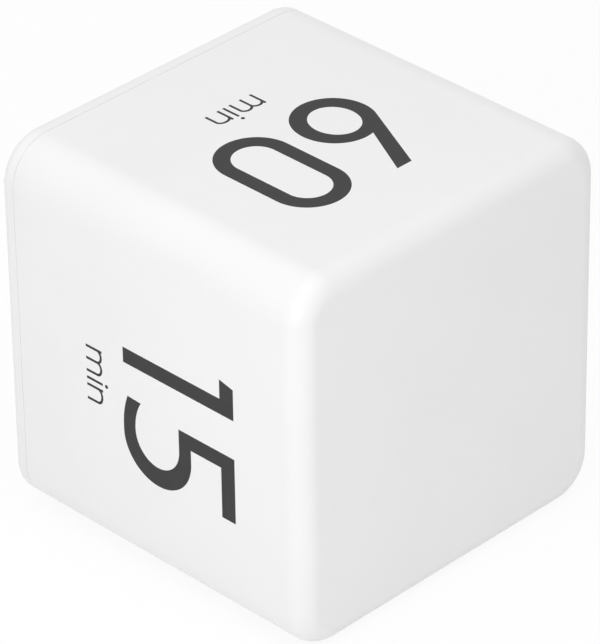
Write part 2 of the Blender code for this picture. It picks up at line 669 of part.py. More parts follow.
def make_battery_door(material):
    """Door with two tabs under the cover's edge and a flexible tongue at the other end."""
    low, high = (-DOOR_HALF_X, DOOR_LOW_Z), (DOOR_HALF_X, DOOR_HIGH_Z)
    outline = rounded_outline(low, high, DOOR_CORNER - GAP, SMALL_STEPS)
    door = extruded("battery_door", outline, "Y", DOOR_INNER_Y, REAR_Y)
    for side in (-1, 1):
        left = side * TAB_SPREAD / 2 - TAB_WIDTH / 2
        right = left + TAB_WIDTH
        neck_low = (left, TAB_LOW_Y, DOOR_HIGH_Z - TAB_NECK)
        neck = box("neck", neck_low, (right, DOOR_INNER_Y + SINK, DOOR_HIGH_Z))
        reach_low = (left, TAB_LOW_Y, DOOR_HIGH_Z - SINK)
        joined(door, joined(neck, box("tab", reach_low, (right, TAB_HIGH_Y, TAB_TIP_Z))))
    half = TONGUE_WIDTH / 2
    post_low = (-half, DOOR_INNER_Y - CATCH_POST_DEPTH, CATCH_POST_Z)
    post = box("post", post_low, (half, DOOR_INNER_Y + SINK, CATCH_POST_Z + CATCH_POST_THICKNESS))
    catch_low = (-half, CATCH_LOW_Y, CATCH_WALL_Z - CATCH_BITE)
    joined(post, box("catch", catch_low, (half, CATCH_HIGH_Y, CATCH_POST_Z + SINK)))
    joined(door, post)
    for side in (-1, 1):
        inner, outer = sorted((side * half, side * (half + TONGUE_SLOT)))
        slot_low = (inner, DOOR_INNER_Y - OVERRUN, DOOR_LOW_Z - OVERRUN)
        cut(door, box("slot", slot_low, (outer, REAR_Y + OVERRUN, DOOR_LOW_Z + TONGUE_LENGTH)))
    add_thumb_grip(door)
    for middle in (LOWER_CELL_Z, UPPER_CELL_Z):
        half_x, half_z = PRESS_RIB_LENGTH / 2, PRESS_RIB_WIDTH / 2
        rib_low = (-half_x, DOOR_INNER_Y - PRESS_RIB_HEIGHT, middle - half_z)
        joined(door, box("rib", rib_low, (half_x, DOOR_INNER_Y + SINK, middle + half_z)))
    return finish(door, material, origin=HINGE, smooth=30)


def add_thumb_grip(door):
    """A shallow dish on the tongue with raised bars for the thumb."""
    reach = GRIP_WIDTH / 2
    base = DOOR_LOW_Z + GRIP_SETBACK
    floor = REAR_Y - GRIP_DEPTH
    dish = rounded_outline((-reach, base), (reach, base + GRIP_HEIGHT), DOOR_CORNER, SMALL_STEPS)
    cut(door, extruded("dish", dish, "Y", floor, REAR_Y + OVERRUN))
    bars = int(GRIP_HEIGHT / (2 * GRIP_RIDGE)) - 1
    for index in range(bars):
        z = base + GRIP_HEIGHT / 2 + (index - (bars - 1) / 2) * 2 * GRIP_RIDGE
        low = (GRIP_RIDGE - reach, floor - SINK, z - GRIP_RIDGE / 2)
        joined(door, box("bar", low, (reach - GRIP_RIDGE, REAR_Y - SINK, z + GRIP_RIDGE / 2)))


def make_display(clear, glass, rubber):
    """Window lens, two-layer glass with its contact ledge, and the striped connector."""
    seat = LENS_SEAT_Y + GAP
    lens = extruded("display_window", lens_outline(0), "Y", seat, seat + LENS_THICKNESS)
    finish(lens, clear)
    half = GLASS_WIDTH / 2
    low = (-half, GLASS_MIDDLE_Y, GLASS_LOW_Z)
    panel = box("lcd_glass", low, (half, GLASS_REAR_Y, GLASS_HIGH_Z))
    back_low = (-half, GLASS_FRONT_Y, GLASS_LOW_Z)
    joined(panel, box("back", back_low, (half, GLASS_MIDDLE_Y + SINK, BACK_GLASS_HIGH_Z)))
    finish(panel, glass)
    reach, thick = ZEBRA_WIDTH / 2, ZEBRA_THICKNESS / 2
    low = (-reach, BOARD_REAR_Y + GAP, ZEBRA_Z - thick)
    zebra = box("zebra_connector", low, (reach, GLASS_MIDDLE_Y - GAP, ZEBRA_Z + thick))
    finish(zebra, rubber)


def sensor_pins():
    inset = SENSOR_SIDE / 2 - PIN_INSET
    return [(SENSOR_X + sx * inset, SENSOR_Z + sz * inset) for sx in (-1, 1) for sz in (-1, 1)]


def make_board(laminate, steel):
    """Circuit board with its screw holes and the sensor's pin holes, and the four screws."""
    low, high = (-BOARD_HALF_X, BOARD_LOW_Z), (BOARD_HALF_X, BOARD_HIGH_Z)
    outline = rounded_outline(low, high, BOARD_CORNER, SMALL_STEPS)
    board = extruded("main_board", outline, "Y", BOARD_FRONT_Y, BOARD_REAR_Y)
    start, end = BOARD_FRONT_Y - OVERRUN, BOARD_REAR_Y + OVERRUN
    for place in boss_places():
        radius = BOARD_HOLE_RADIUS
        cut(board, cylinder("hole", "Y", place, radius, start, end, SMALL_SIDES))
    for place in sensor_pins():
        radius = PIN_RADIUS + GAP
        cut(board, cylinder("hole", "Y", place, radius, start, end, SMALL_SIDES))
    finish(board, laminate)
    for number, (x, z) in enumerate(boss_places(), start=1):
        make_screw(f"board_screw_{number}", x, z, steel)


def make_screw(name, x, z, material):
    """Pan-head self-tapping screw, driven from inside towards the rear."""
    shoulder = SCREW_HEAD_HEIGHT / 3
    profile = [
        (0, -SCREW_HEAD_HEIGHT),
        (SCREW_HEAD_RADIUS - shoulder, -SCREW_HEAD_HEIGHT),
        (SCREW_HEAD_RADIUS, -SCREW_HEAD_HEIGHT + shoulder),
        (SCREW_HEAD_RADIUS, 0),
        (SCREW_RADIUS, 0),
        (SCREW_RADIUS, SCREW_LENGTH - SCREW_RADIUS),
        (0, SCREW_LENGTH),
    ]
    screw = turned(name, profile, SMALL_SIDES)
    half, width = SCREW_RECESS_LENGTH / 2, SCREW_RECESS_WIDTH / 2
    floor = SCREW_RECESS_DEPTH - SCREW_HEAD_HEIGHT
    below = -SCREW_HEAD_HEIGHT - OVERRUN
    cut(screw, box("recess", (-half, -width, below), (half, width, floor)))
    cut(screw, box("recess", (-width, -half, below), (width, half, floor)))
    moved(screw, pointing((0, 1, 0), (x, BOARD_FRONT_Y - GAP, z)))
    return finish(screw, material)


def make_switch(steel, black, white):
    """Slide switch: steel frame on the board, moving lever, and the knob on the lever."""
    half_x, half_z = SWITCH_LENGTH / 2, SWITCH_HEIGHT / 2
    low = (ROW_OFFSET - half_x, SWITCH_LOW_Y, ROW_Z - half_z)
    frame = box("switch_frame", low, (ROW_OFFSET + half_x, SWITCH_HIGH_Y, ROW_Z + half_z))
    inner_x, inner_z = half_x - SWITCH_SKIN, half_z - SWITCH_SKIN
    low = (ROW_OFFSET - inner_x, SWITCH_LOW_Y - OVERRUN, ROW_Z - inner_z)
    high = (ROW_OFFSET + inner_x, SWITCH_HIGH_Y - SWITCH_SKIN, ROW_Z + inner_z)
    cut(frame, box("inside", low, high))
    reach_x = (LEVER_SIZE + SWITCH_TRAVEL) / 2 + GAP
    reach_z = LEVER_SIZE / 2 + GAP
    low = (ROW_OFFSET - reach_x, SWITCH_HIGH_Y - OVERRUN, ROW_Z - reach_z)
    high = (ROW_OFFSET + reach_x, SWITCH_HIGH_Y + OVERRUN, ROW_Z + reach_z)
    cut(frame, box("slot", low, high))
    finish(frame, steel)

    foot_y = SWITCH_HIGH_Y - SWITCH_SKIN - GAP
    foot_x, foot_z = LEVER_FOOT_LENGTH / 2, inner_z - GAP
    low = (KNOB_X - foot_x, foot_y - LEVER_FOOT_DEPTH, ROW_Z - foot_z)
    lever = box("switch_lever", low, (KNOB_X + foot_x, foot_y, ROW_Z + foot_z))
    half = LEVER_SIZE / 2
    low = (KNOB_X - half, foot_y - SINK, ROW_Z - half)
    joined(lever, box("stem", low, (KNOB_X + half, LEVER_TOP_Y, ROW_Z + half)))
    finish(lever, black, origin=(KNOB_X, SWITCH_HIGH_Y, ROW_Z))

    make_knob(white)


def make_knob(material):
    """A grooved finger piece with the flange that keeps it behind the cover."""
    half_x, half_z = FLANGE_LENGTH / 2, FLANGE_HEIGHT / 2
    low = (KNOB_X - half_x, FLANGE_LOW_Y, ROW_Z - half_z)
    knob = box("switch_knob", low, (KNOB_X + half_x, FLANGE_HIGH_Y, ROW_Z + half_z))
    half_x, half_z = KNOB_LENGTH / 2, KNOB_HEIGHT / 2
    low = (KNOB_X - half_x, FLANGE_HIGH_Y - SINK, ROW_Z - half_z)
    joined(knob, box("grip", low, (KNOB_X + half_x, KNOB_TOP_Y, ROW_Z + half_z)))
    groove = KNOB_LENGTH / 8
    for index in (-1, 0, 1):
        middle = KNOB_X + 2 * index * groove
        low = (middle - groove / 2, KNOB_TOP_Y - groove, ROW_Z - half_z - OVERRUN)
        high = (middle + groove / 2, KNOB_TOP_Y + OVERRUN, ROW_Z + half_z + OVERRUN)
        cut(knob, box("groove", low, high))
    half = LEVER_SIZE / 2 + KNOB_CLEARANCE
    low = (KNOB_X - half, FLANGE_LOW_Y - OVERRUN, ROW_Z - half)
    cut(knob, box("socket", low, (KNOB_X + half, LEVER_TOP_Y + KNOB_CLEARANCE, ROW_Z + half)))
    return finish(knob, material, origin=(KNOB_X, REAR_Y, ROW_Z))


def make_buzzer(material):
    """A flat piezo buzzer on the board, with its port under the funnel."""
    centre = (-ROW_OFFSET, ROW_Z)
    start = BOARD_REAR_Y + GAP
    top = start + BUZZER_HEIGHT
    buzzer = cylinder("buzzer", "Y", centre, BUZZER_RADIUS, start, top)
    port_start = top - BUZZER_PORT_DEPTH
    port_end = top + OVERRUN
    cut(buzzer, cylinder("port", "Y", centre, BUZZER_PORT_RADIUS, port_start, port_end, SMALL_SIDES))
    return finish(buzzer, material)


def make_sensor(black, steel):
    """The gravity sensor: a cup with a round chamber, a pinned base, and the loose ball."""
    half = SENSOR_SIDE / 2
    low, high = (SENSOR_X - half, SENSOR_Z - half), (SENSOR_X + half, SENSOR_Z + half)
    outline = rounded_outline(low, high, SENSOR_WALL, SMALL_STEPS)
    end = SENSOR_CUP_Y - CHAMBER_DEPTH - SENSOR_WALL
    cup = extruded("sensor_cup", outline, "Y", end, SENSOR_CUP_Y)
    start, end = SENSOR_CUP_Y - CHAMBER_DEPTH, SENSOR_CUP_Y + OVERRUN
    cut(cup, cylinder("chamber", "Y", (SENSOR_X, SENSOR_Z), CHAMBER_RADIUS, start, end))
    finish(cup, black)
    base = extruded("sensor_base", outline, "Y", SENSOR_BASE_Y, PART_Y)
    for place in sensor_pins():
        pin_end = BOARD_REAR_Y + GAP
        joined(base, cylinder("pin", "Y", place, PIN_RADIUS, PART_Y - SINK, pin_end, SMALL_SIDES))
    finish(base, black)
    shape = bmesh.new()
    bmesh.ops.create_icosphere(shape, subdivisions=2, radius=BALL_RADIUS)
    ball = make_object("sensor_ball", shape)
    moved(ball, Matrix.Translation((SENSOR_X, BALL_Y, SENSOR_Z - BALL_ORBIT)))
    finish(ball, steel, origin=(SENSOR_X, BALL_Y, SENSOR_Z), smooth=60)


def make_board_parts(epoxy, steel, sleeve, ceramic):
    """Controller under its epoxy blob, crystal, capacitor and chip parts."""
    rise = BLOB_HEIGHT
    radius = (BLOB_RADIUS**2 + rise**2) / (2 * rise)
    spread = math.degrees(math.asin(BLOB_RADIUS / radius))
    dome = arc((0, rise - radius), radius, 90, 90 - spread, FILLET_STEPS)
    blob = turned("controller_blob", dome + [(0, 0)])
    moved(blob, pointing((0, -1, 0), (BLOB_X, PART_Y, BOARD_HIGH_Z - BLOB_Z_DROP)))
    finish(blob, epoxy)

    place = (PART_Y - CRYSTAL_RADIUS, BOARD_HIGH_Z - CRYSTAL_DROP)
    half = CRYSTAL_LENGTH / 2
    start, end = CRYSTAL_X - half, CRYSTAL_X + half
    crystal = cylinder("crystal", "X", place, CRYSTAL_RADIUS, start, end, SMALL_SIDES)
    round_off(crystal, CRYSTAL_RADIUS / 3, 1, at_level("X", end))
    finish(crystal, steel)

    place = (CAPACITOR_X, ROW_Z)
    start = PART_Y - CAPACITOR_HEIGHT
    capacitor = cylinder("capacitor", "Y", place, CAPACITOR_RADIUS, start, PART_Y)
    round_off(capacitor, CAPACITOR_RADIUS / 8, 1, at_level("Y", start))
    finish(capacitor, sleeve)

    for number in range(CHIP_COUNT):
        z = BOARD_HIGH_Z - CHIP_DROP - number * CHIP_PITCH
        low = (CHIP_X, PART_Y - CHIP_HEIGHT, z - CHIP_WIDTH)
        chip = box(f"chip_{number + 1}", low, (CHIP_X + CHIP_LENGTH, PART_Y, z))
        finish(chip, ceramic)


def cell_profile():
    """Half section of a cell from its flat end to its button."""
    body = CELL_LENGTH - BUTTON_HEIGHT
    return [
        (0, 0),
        (CELL_RADIUS - CELL_SHOULDER, 0),
        (CELL_RADIUS, CELL_SHOULDER),
        (CELL_RADIUS, body - CELL_SHOULDER),
        (CELL_RADIUS - CELL_SHOULDER, body),
        (BUTTON_RADIUS, body),
        (BUTTON_RADIUS, CELL_LENGTH),
        (0, CELL_LENGTH),
    ]


def make_cells(wrap):
    """Two cells, head to tail."""
    flat_end = PLATE_X - GAP - CELL_LENGTH
    for name, side, z in (("cell_upper", 1, UPPER_CELL_Z), ("cell_lower", -1, LOWER_CELL_Z)):
        cell = turned(name, cell_profile())
        moved(cell, pointing((side, 0, 0), (side * flat_end, CELL_Y, z)))
        finish(cell, wrap)


def contact_plate(name, side, low_z, high_z):
    inner, outer = sorted((side * PLATE_X, side * (PLATE_X + PLATE_THICKNESS)))
    low, high = (PLATE_LOW_Y, low_z), (PLATE_HIGH_Y, high_z)
    outline = rounded_outline(low, high, PLATE_CORNER, SMALL_STEPS)
    return extruded(name, outline, "X", inner, outer)


def make_contacts(nickel):
    """Bridge plate at one end; at the other, two plates with solder tags through the floor."""
    low = LOWER_CELL_Z - TROUGH_RADIUS + PLATE_MARGIN
    high = UPPER_CELL_Z + TROUGH_RADIUS - PLATE_MARGIN
    middle = (LOWER_CELL_Z + UPPER_CELL_Z) / 2
    finish(contact_plate("bridge_contact", -1, low, high), nickel)
    ends = (
        ("negative_contact", low, middle - PLATE_MARGIN, LOWER_CELL_Z),
        ("positive_contact", middle + PLATE_MARGIN, high, UPPER_CELL_Z),
    )
    for name, bottom, top, tag_z in ends:
        plate = contact_plate(name, 1, bottom, top)
        half = TAG_WIDTH / 2
        tag_low = (PLATE_X, TAG_END_Y, tag_z - half)
        tag_high = (PLATE_X + PLATE_THICKNESS, PLATE_LOW_Y + SINK, tag_z + half)
        finish(joined(plate, box("tag", tag_low, tag_high)), nickel)


def wire(name, points, radius, resolution, material):
    """A round wire along a list of points, with closed ends."""
    data = bpy.data.curves.new(name, "CURVE")
    data.dimensions = "3D"
    data.bevel_depth = radius
    data.bevel_resolution = resolution
    data.use_fill_caps = True
    line = data.splines.new("POLY")
    line.points.add(len(points) - 1)
    for point, place in zip(line.points, points):
        point.co = (*place, 1)
    made = bpy.data.objects.new(name, data)
    bpy.context.scene.collection.objects.link(made)
    data.materials.append(material)
    return made


def coil_points(side, z):
    """A conical coil from a contact plate to a cell's flat end."""
    count = SPRING_TURNS * SPRING_TURN_POINTS
    length = SPRING_LENGTH - 2 * SPRING_WIRE_RADIUS
    points = []
    for index in range(count + 1):
        share = index / count
        turn = math.tau * SPRING_TURNS * share
        radius = SPRING_WIDE_RADIUS + (SPRING_NARROW_RADIUS - SPRING_WIDE_RADIUS) * share
        x = side * (PLATE_X - GAP - SPRING_WIRE_RADIUS - length * share)
        y = CELL_Y + radius * math.cos(turn)
        points.append(Vector((x, y, z + radius * math.sin(turn))))
    return points


def least_gap(points, radius, apart):
    """The least room between stretches of a wire that are some points apart along it."""
    pairs = [(a, b) for i, a in enumerate(points) for b in points[i + apart :]]
    return min((a - b).length for a, b in pairs) - 2 * radius


def make_spring(name, side, z, material):
    """One unbroken coil of wire between a contact plate and a cell's flat end."""
    points = coil_points(side, z)
    room = least_gap(points, SPRING_WIRE_RADIUS, SPRING_TURN_POINTS // 2)
    print(f"{name}: least gap between its turns {room / MM:.2f} mm")
    wire(name, points, SPRING_WIRE_RADIUS, 1, material)


def smooth_route(points, count):
    """A Catmull-Rom curve through the route's own points, read at even shares."""
    ends = [2 * points[0] - points[1], *points, 2 * points[-1] - points[-2]]
    spans = len(points) - 1
    route = []
    for index in range(count + 1):
        place = min(index * spans / count, spans - 1e-9)
        k, t = int(place), place - int(place)
        a, b, c, d = ends[k : k + 4]
        route.append(
            (2 * b + (c - a) * t + (2 * a - 5 * b + 4 * c - d) * t**2 + (3 * b - a - 3 * c + d) * t**3)
            / 2
        )
    return route


def make_lead(name, start_z, pad_x, material):
    """An insulated lead from a solder tag, over the bay's back, to its pad on the board."""
    start_x = PLATE_X + PLATE_THICKNESS + GAP + LEAD_RADIUS
    tag_y = TAG_END_Y + LEAD_DROP
    back_y = TAG_END_Y - LEAD_DROP
    pad_z = BOARD_LOW_Z + LEAD_PAD_RISE
    route = [
        Vector((start_x, tag_y, start_z)),
        Vector((start_x, TAG_END_Y, start_z)),
        Vector(((start_x + pad_x) / 2, back_y, (start_z + pad_z) / 2)),
        Vector((pad_x, TAG_END_Y, pad_z)),
        Vector((pad_x, PART_Y, pad_z)),
    ]
    wire(name, smooth_route(route, LEAD_STEPS), LEAD_RADIUS, 2, material)


def main():
    clear_scene()
    white = plastic("white_case", (0.86, 0.86, 0.86), 0.35)
    nickel = plastic("nickel", (0.72, 0.71, 0.68), 0.3, metallic=1.0)
    steel = plastic("steel", (0.6, 0.6, 0.6), 0.35, metallic=1.0)
    black = plastic("black_nylon", (0.03, 0.03, 0.03), 0.5)
    make_housing(white)
    make_rear_cover(white)
    make_battery_door(white)
    make_display(
        plastic("clear_window", (0.9, 0.92, 0.92), 0.05, alpha=0.3),
        plastic("lcd_glass", (0.42, 0.45, 0.38), 0.15),
        plastic("zebra_rubber", (0.75, 0.72, 0.68), 0.6),
    )
    make_board(plastic("green_laminate", (0.03, 0.22, 0.08), 0.4), steel)
    make_switch(steel, black, white)
    make_buzzer(black)
    make_sensor(black, steel)
    make_board_parts(
        plastic("epoxy", (0.02, 0.02, 0.02), 0.25),
        steel,
        plastic("capacitor_sleeve", (0.03, 0.04, 0.12), 0.4),
        plastic("chip_ceramic", (0.25, 0.2, 0.15), 0.5),
    )
    make_cells(plastic("cell_wrap", (0.25, 0.27, 0.3), 0.3))
    make_contacts(nickel)
    make_spring("spring_upper", -1, UPPER_CELL_Z, nickel)
    make_spring("spring_lower", 1, LOWER_CELL_Z, nickel)
    make_lead("red_lead", UPPER_CELL_Z, RED_PAD_X, plastic("red_pvc", (0.5, 0.02, 0.02), 0.45))
    make_lead("black_lead", LOWER_CELL_Z, BLACK_PAD_X, plastic("black_pvc", (0.02, 0.02, 0.02), 0.45))


main()
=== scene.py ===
"""White cube-shaped countdown timer with a number of minutes printed on four of its faces."""

import math

import bmesh
import bpy
from mathutils import Matrix, Vector, kdtree


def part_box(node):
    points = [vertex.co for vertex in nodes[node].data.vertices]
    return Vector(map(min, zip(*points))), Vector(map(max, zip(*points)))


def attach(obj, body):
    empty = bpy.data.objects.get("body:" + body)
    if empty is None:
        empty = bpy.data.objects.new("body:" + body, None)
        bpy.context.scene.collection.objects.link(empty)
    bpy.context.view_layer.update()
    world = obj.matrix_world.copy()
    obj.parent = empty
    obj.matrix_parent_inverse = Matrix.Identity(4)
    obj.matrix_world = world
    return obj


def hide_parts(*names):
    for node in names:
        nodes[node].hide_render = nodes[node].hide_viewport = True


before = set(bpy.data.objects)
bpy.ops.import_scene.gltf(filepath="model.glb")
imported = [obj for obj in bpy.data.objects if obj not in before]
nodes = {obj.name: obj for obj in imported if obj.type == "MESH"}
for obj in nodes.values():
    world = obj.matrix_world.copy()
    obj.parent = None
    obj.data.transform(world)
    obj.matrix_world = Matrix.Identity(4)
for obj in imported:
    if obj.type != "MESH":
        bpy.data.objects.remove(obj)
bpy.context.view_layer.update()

MM = 0.001

# How near two places are that count as one plane, and as one point
NEAR = MM / 100
SAME = MM / 1000

# Case, as it is built
SIDE_RADIUS = 7.2 * MM
FRONT_RADIUS = 3.5 * MM
WALL = 2.2 * MM
STIFFENER_WIDTH = 1.2 * MM
STIFFENER_HEIGHT = 1.4 * MM
RIB_SETBACK = 3.0 * MM
SEAM_CLOSING = 0.28 * MM
SEAM_RADIUS = 0.1 * MM
SEAM_STEPS = 3
EDGE_EASE = 0.12 * MM
EASE_STEPS = 4
ROUND_STEPS = 32
FILLET_STEPS = 16

# Edges turned by more than this many degrees keep a crease in their shading
CREASE = 30
CELL_CREASE = 35
CASE_CREASE = 40

# Sides that count as one arc: how much their lengths may differ, and the turn between them
ARC_EVENNESS = 0.03
ARC_LEAST_TURN = math.radians(5)
ARC_MOST_TURN = math.radians(35)

# Eased edges of the small pieces
THIN_EASE = 0.05 * MM
SCREW_EASE = 0.06 * MM
PART_EASE = 0.08 * MM
CAN_EASE = 0.12 * MM

# Snap hooks, whose pockets the housing's walls have
HOOK_WIDTH = 6.0 * MM
HOOK_SPREAD = 26.0 * MM
SIDE_HOOK_DROP = 17.0 * MM
HOOK_ROOM = 0.3 * MM
HOOK_NOSE_HEIGHT = 1.0 * MM
HOOK_NOSE_LENGTH = 1.8 * MM

# Printed ink: the numerals, the small word under each and the legends beside the switch
INK_THICKNESS = 0.012 * MM
INK_RISE = 0.004 * MM
STROKE = 2.65 * MM
DIGIT_HEIGHT = 23.0 * MM
OVERSHOOT = 0.15 * MM
TOP_BAR = 2.8 * MM
SMALL_STROKE = 0.45 * MM
SMALL_HEIGHT = 3.4 * MM
LEGEND_HEIGHT = 1.7 * MM
LEGEND_STROKE = 0.28 * MM
ARC_STEPS = 40

# Display: seven-segment digits on the glass
SEGMENT = 1.15 * MM
SEGMENT_GAP = 0.12 * MM
SEGMENT_DIGIT = (4.3 * MM, 8.0 * MM)
SEGMENT_PITCH = 7.0 * MM
SEGMENT_SLANT = 0.09
COLON_ROOM = 2.4 * MM
COLON_RISE = 0.22
COLON_CORNER = 0.1 * MM
POLARISER_INSET = 3.0 * MM

# Connector and circuit board
ZEBRA_PITCH = 0.25 * MM
ZEBRA_SHARE = 0.5
TRACK_PITCH = 1.1 * MM
TRACK_SHARE = 0.28
TRACK_STEP = 3.0 * MM
RING_RADII = (2.2 * MM, 1.25 * MM)

# Borders between two finishes on one piece, and between a stripe and its ground
BORDER_SOFTNESS = 0.1 * MM
FINE_SOFTNESS = 0.02 * MM
STRIPE_SOFTNESS = 0.1

# Battery door, and the marks moulded inside it
DOOR_THICKNESS = 1.8 * MM
MARK_THICKNESS = 0.1 * MM
MARK_RISE = 0.12 * MM

# Cells: where along a cell its wrap and its band start and end, measured from the foot
CELL_LENGTH = 44.5 * MM
WRAP_START = 0.21 * MM
WRAP_END = 43.37 * MM
BAND_START = 31.0 * MM

# A cell's turned outline as (radius, height) in millimetres: foot, wrap, shoulder, button
CELL_PROFILE = (
    (0, 0.12), (3.9, 0.12), (4.05, 0), (4.6, 0), (4.72, 0.1), (4.72, 0.22),
    (4.85, 0.22), (5.1, 0.28), (5.22, 0.42), (5.25, 0.6), (5.25, 43.0), (5.22, 43.15),
    (5.1, 43.28), (4.6, 43.36), (4.5, 43.3), (4.4, 43.4), (2.5, 43.42), (2.2, 43.5),
    (1.98, 43.62), (1.9, 43.75), (1.9, 44.3), (1.86, 44.42), (1.7, 44.5), (0, 44.5),
)
TURN_STEPS = 64


def corners(box):
    """The two corners of a box as vectors."""
    return [Vector(corner) for corner in box]


case_low, case_high = corners(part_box("housing"))
cover_low, cover_high = corners(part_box("rear_cover"))
lens_low, lens_high = corners(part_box("display_window"))
knob_low, knob_high = corners(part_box("switch_knob"))
can_low, can_high = corners(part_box("capacitor"))
board_low, board_high = corners(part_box("main_board"))
glass_high = corners(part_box("lcd_glass"))[1]
door_high = corners(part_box("battery_door"))[1]
CASE_SIDE = case_high.x - case_low.x
HALF_SIDE = CASE_SIDE / 2
FRONT_Y = case_low.y
RIM_Y = case_high.y
REAR_Y = cover_high.y
WINDOW_Z = (lens_low.z + lens_high.z) / 2
POLARISER_HIGH_Z = glass_high.z - POLARISER_INSET
DOOR_INNER_Y = door_high.y - DOOR_THICKNESS


class Socket:
    """A node socket with arithmetic: each sum or product adds its Math node."""

    def __init__(self, shader, link):
        self.shader = shader
        self.link = link

    def _math(self, operation, first, second):
        return self.shader.node("ShaderNodeMath", {"operation": operation}, [first, second])

    def __add__(self, other):
        return self._math("ADD", self, other)

    def __radd__(self, other):
        return self._math("ADD", other, self)

    def __sub__(self, other):
        return self._math("SUBTRACT", self, other)

    def __rsub__(self, other):
        return self._math("SUBTRACT", other, self)

    def __mul__(self, other):
        return self._math("MULTIPLY", self, other)

    def __rmul__(self, other):
        return self._math("MULTIPLY", other, self)

    def clamp(self, low, high):
        """Takes low to 0 and high to 1, and holds it there."""
        sockets = {"Value": self, "From Min": low, "From Max": high}
        return self.shader.node("ShaderNodeMapRange", {"clamp": True}, sockets, "Result")


class Shader:
    """The node tree of a material, around one Principled shader, or of the world."""

    def __init__(self, name, owner=None):
        self.material = owner or bpy.data.materials.new(name)
        self.material.use_nodes = True
        self.tree = self.material.node_tree
        self.principled = self.tree.nodes.get("Principled BSDF")

    def plug(self, socket, value):
        """Links a wrapped socket, or sets a plain value."""
        if isinstance(value, Socket):
            self.tree.links.new(value.link, socket)
        else:
            socket.default_value = value

    def node(self, kind, settings=None, sockets=None, out=0):
        """Adds a node: its settings first, then its sockets by name or in order."""
        made = self.tree.nodes.new(kind)
        for name, value in (settings or {}).items():
            setattr(made, name, value)
        pairs = sockets.items() if isinstance(sockets, dict) else enumerate(sockets or [])
        for name, value in pairs:
            self.plug(made.inputs[name], value)
        return Socket(self, made.outputs[out])

    def set(self, **values):
        """Sets or links the Principled shader's sockets; base_color means Base Color."""
        for name, value in values.items():
            socket = name.replace("_", " ").title().replace("Ior", "IOR")
            self.plug(self.principled.inputs[socket], value)

    def place(self, stretch=(1, 1, 1)):
        """The surface's own coordinates in metres, stretched along the axes."""
        spot = self.node("ShaderNodeTexCoord", out="Object")
        return self.node("ShaderNodeMapping", None, {"Vector": spot, "Scale": stretch})

    def axis(self, letter):
        """One of the surface's own coordinates, X, Y or Z, in metres."""
        return self.node("ShaderNodeSeparateXYZ", None, [self.place()], letter)

    def noise(self, size, detail=2.0, stretch=(1, 1, 1)):
        """Soft noise whose features are about one size across, from 0 to 1."""
        sockets = {"Vector": self.place(stretch), "Scale": 1 / size, "Detail": detail}
        return self.node("ShaderNodeTexNoise", None, sockets, "Fac")

    def stripes(self, value, pitch, share):
        """Soft-edged lines across a value: 1 on a line and 0 between."""
        wave = self.node("ShaderNodeMath", {"operation": "SINE"}, [value * (math.tau / pitch)])
        level = math.cos(math.pi * share)
        return wave.clamp(level - STRIPE_SOFTNESS, level + STRIPE_SOFTNESS)

    def mix(self, factor, first, second):
        """A colour between two: the first where the factor is 0, the second where it is 1."""
        settings = {"data_type": "RGBA", "clamp_factor": True}
        sockets = {"Factor": factor, 6: first, 7: second}
        return self.node("ShaderNodeMix", settings, sockets, 2)

    def bump(self, height, distance, strength):
        """Raises the surface's look by a height from 0 to 1, times a distance."""
        sockets = {"Height": height, "Distance": distance, "Strength": strength}
        self.set(normal=self.node("ShaderNodeBump", None, sockets, "Normal"))

    def rays_to_white(self):
        """1 for what the camera, gloss and glass see, and 0 for the light on other surfaces."""
        rays = self.node("ShaderNodeLightPath").link.node.outputs
        names = ("Is Camera Ray", "Is Glossy Ray", "Is Transmission Ray")
        camera, gloss, glass = (Socket(self, rays[name]) for name in names)
        return (camera + gloss + glass).clamp(0.0, 1.0)

    def finish_with(self, first, share, second):
        """Ends the tree with a mix of two shaders."""
        both = self.node("ShaderNodeMixShader", None, [share, first, second])
        output = next(node for node in self.tree.nodes if node.type.startswith("OUTPUT"))
        self.plug(output.inputs["Surface"], both)


def grey(value):
    """A linear colour with the same red, green and blue."""
    return (value, value, value, 1.0)


def srgb(code):
    """A linear colour from a hexadecimal screen colour."""
    parts = [int(code[i : i + 2], 16) / 255 for i in (0, 2, 4)]
    return (*(p / 12.92 if p <= 0.04045 else ((p + 0.055) / 1.055) ** 2.4 for p in parts), 1.0)


# Materials


def white_abs():
    """Satin white moulding: nearly even colour, a fine spark-eroded grain and faint flow marks."""
    shader = Shader("white_abs")
    flow = shader.noise(14 * MM, detail=3.0)
    shader.set(base_color=shader.mix(flow, srgb("F1F1F1"), srgb("F5F5F5")))
    shader.set(roughness=0.34 + 0.06 * shader.noise(5 * MM))
    shader.bump(shader.noise(0.28 * MM, detail=1.0), 0.004 * MM, 0.35)
    return shader.material


def printed_ink(name, dark, light):
    """Pad-printed ink with a slightly uneven film."""
    shader = Shader(name)
    film = shader.noise(1.6 * MM, detail=3.0)
    shader.set(base_color=shader.mix(film, srgb(dark), srgb(light)))
    shader.set(roughness=0.5 + 0.1 * film, specular_ior_level=0.12)
    shader.bump(shader.noise(0.2 * MM), 0.003 * MM, 0.3)
    return shader.material


def plain(name, dark, light, roughness, grain, depth):
    """A solid between two near colours, with soft noise in its colour, gloss and surface."""
    shader = Shader(name)
    cloud = shader.noise(8 * grain, detail=3.0)
    shader.set(base_color=shader.mix(cloud, srgb(dark), srgb(light)))
    shader.set(roughness=roughness + 0.12 * shader.noise(5 * grain))
    shader.bump(shader.noise(grain), depth, 0.4)
    return shader.material


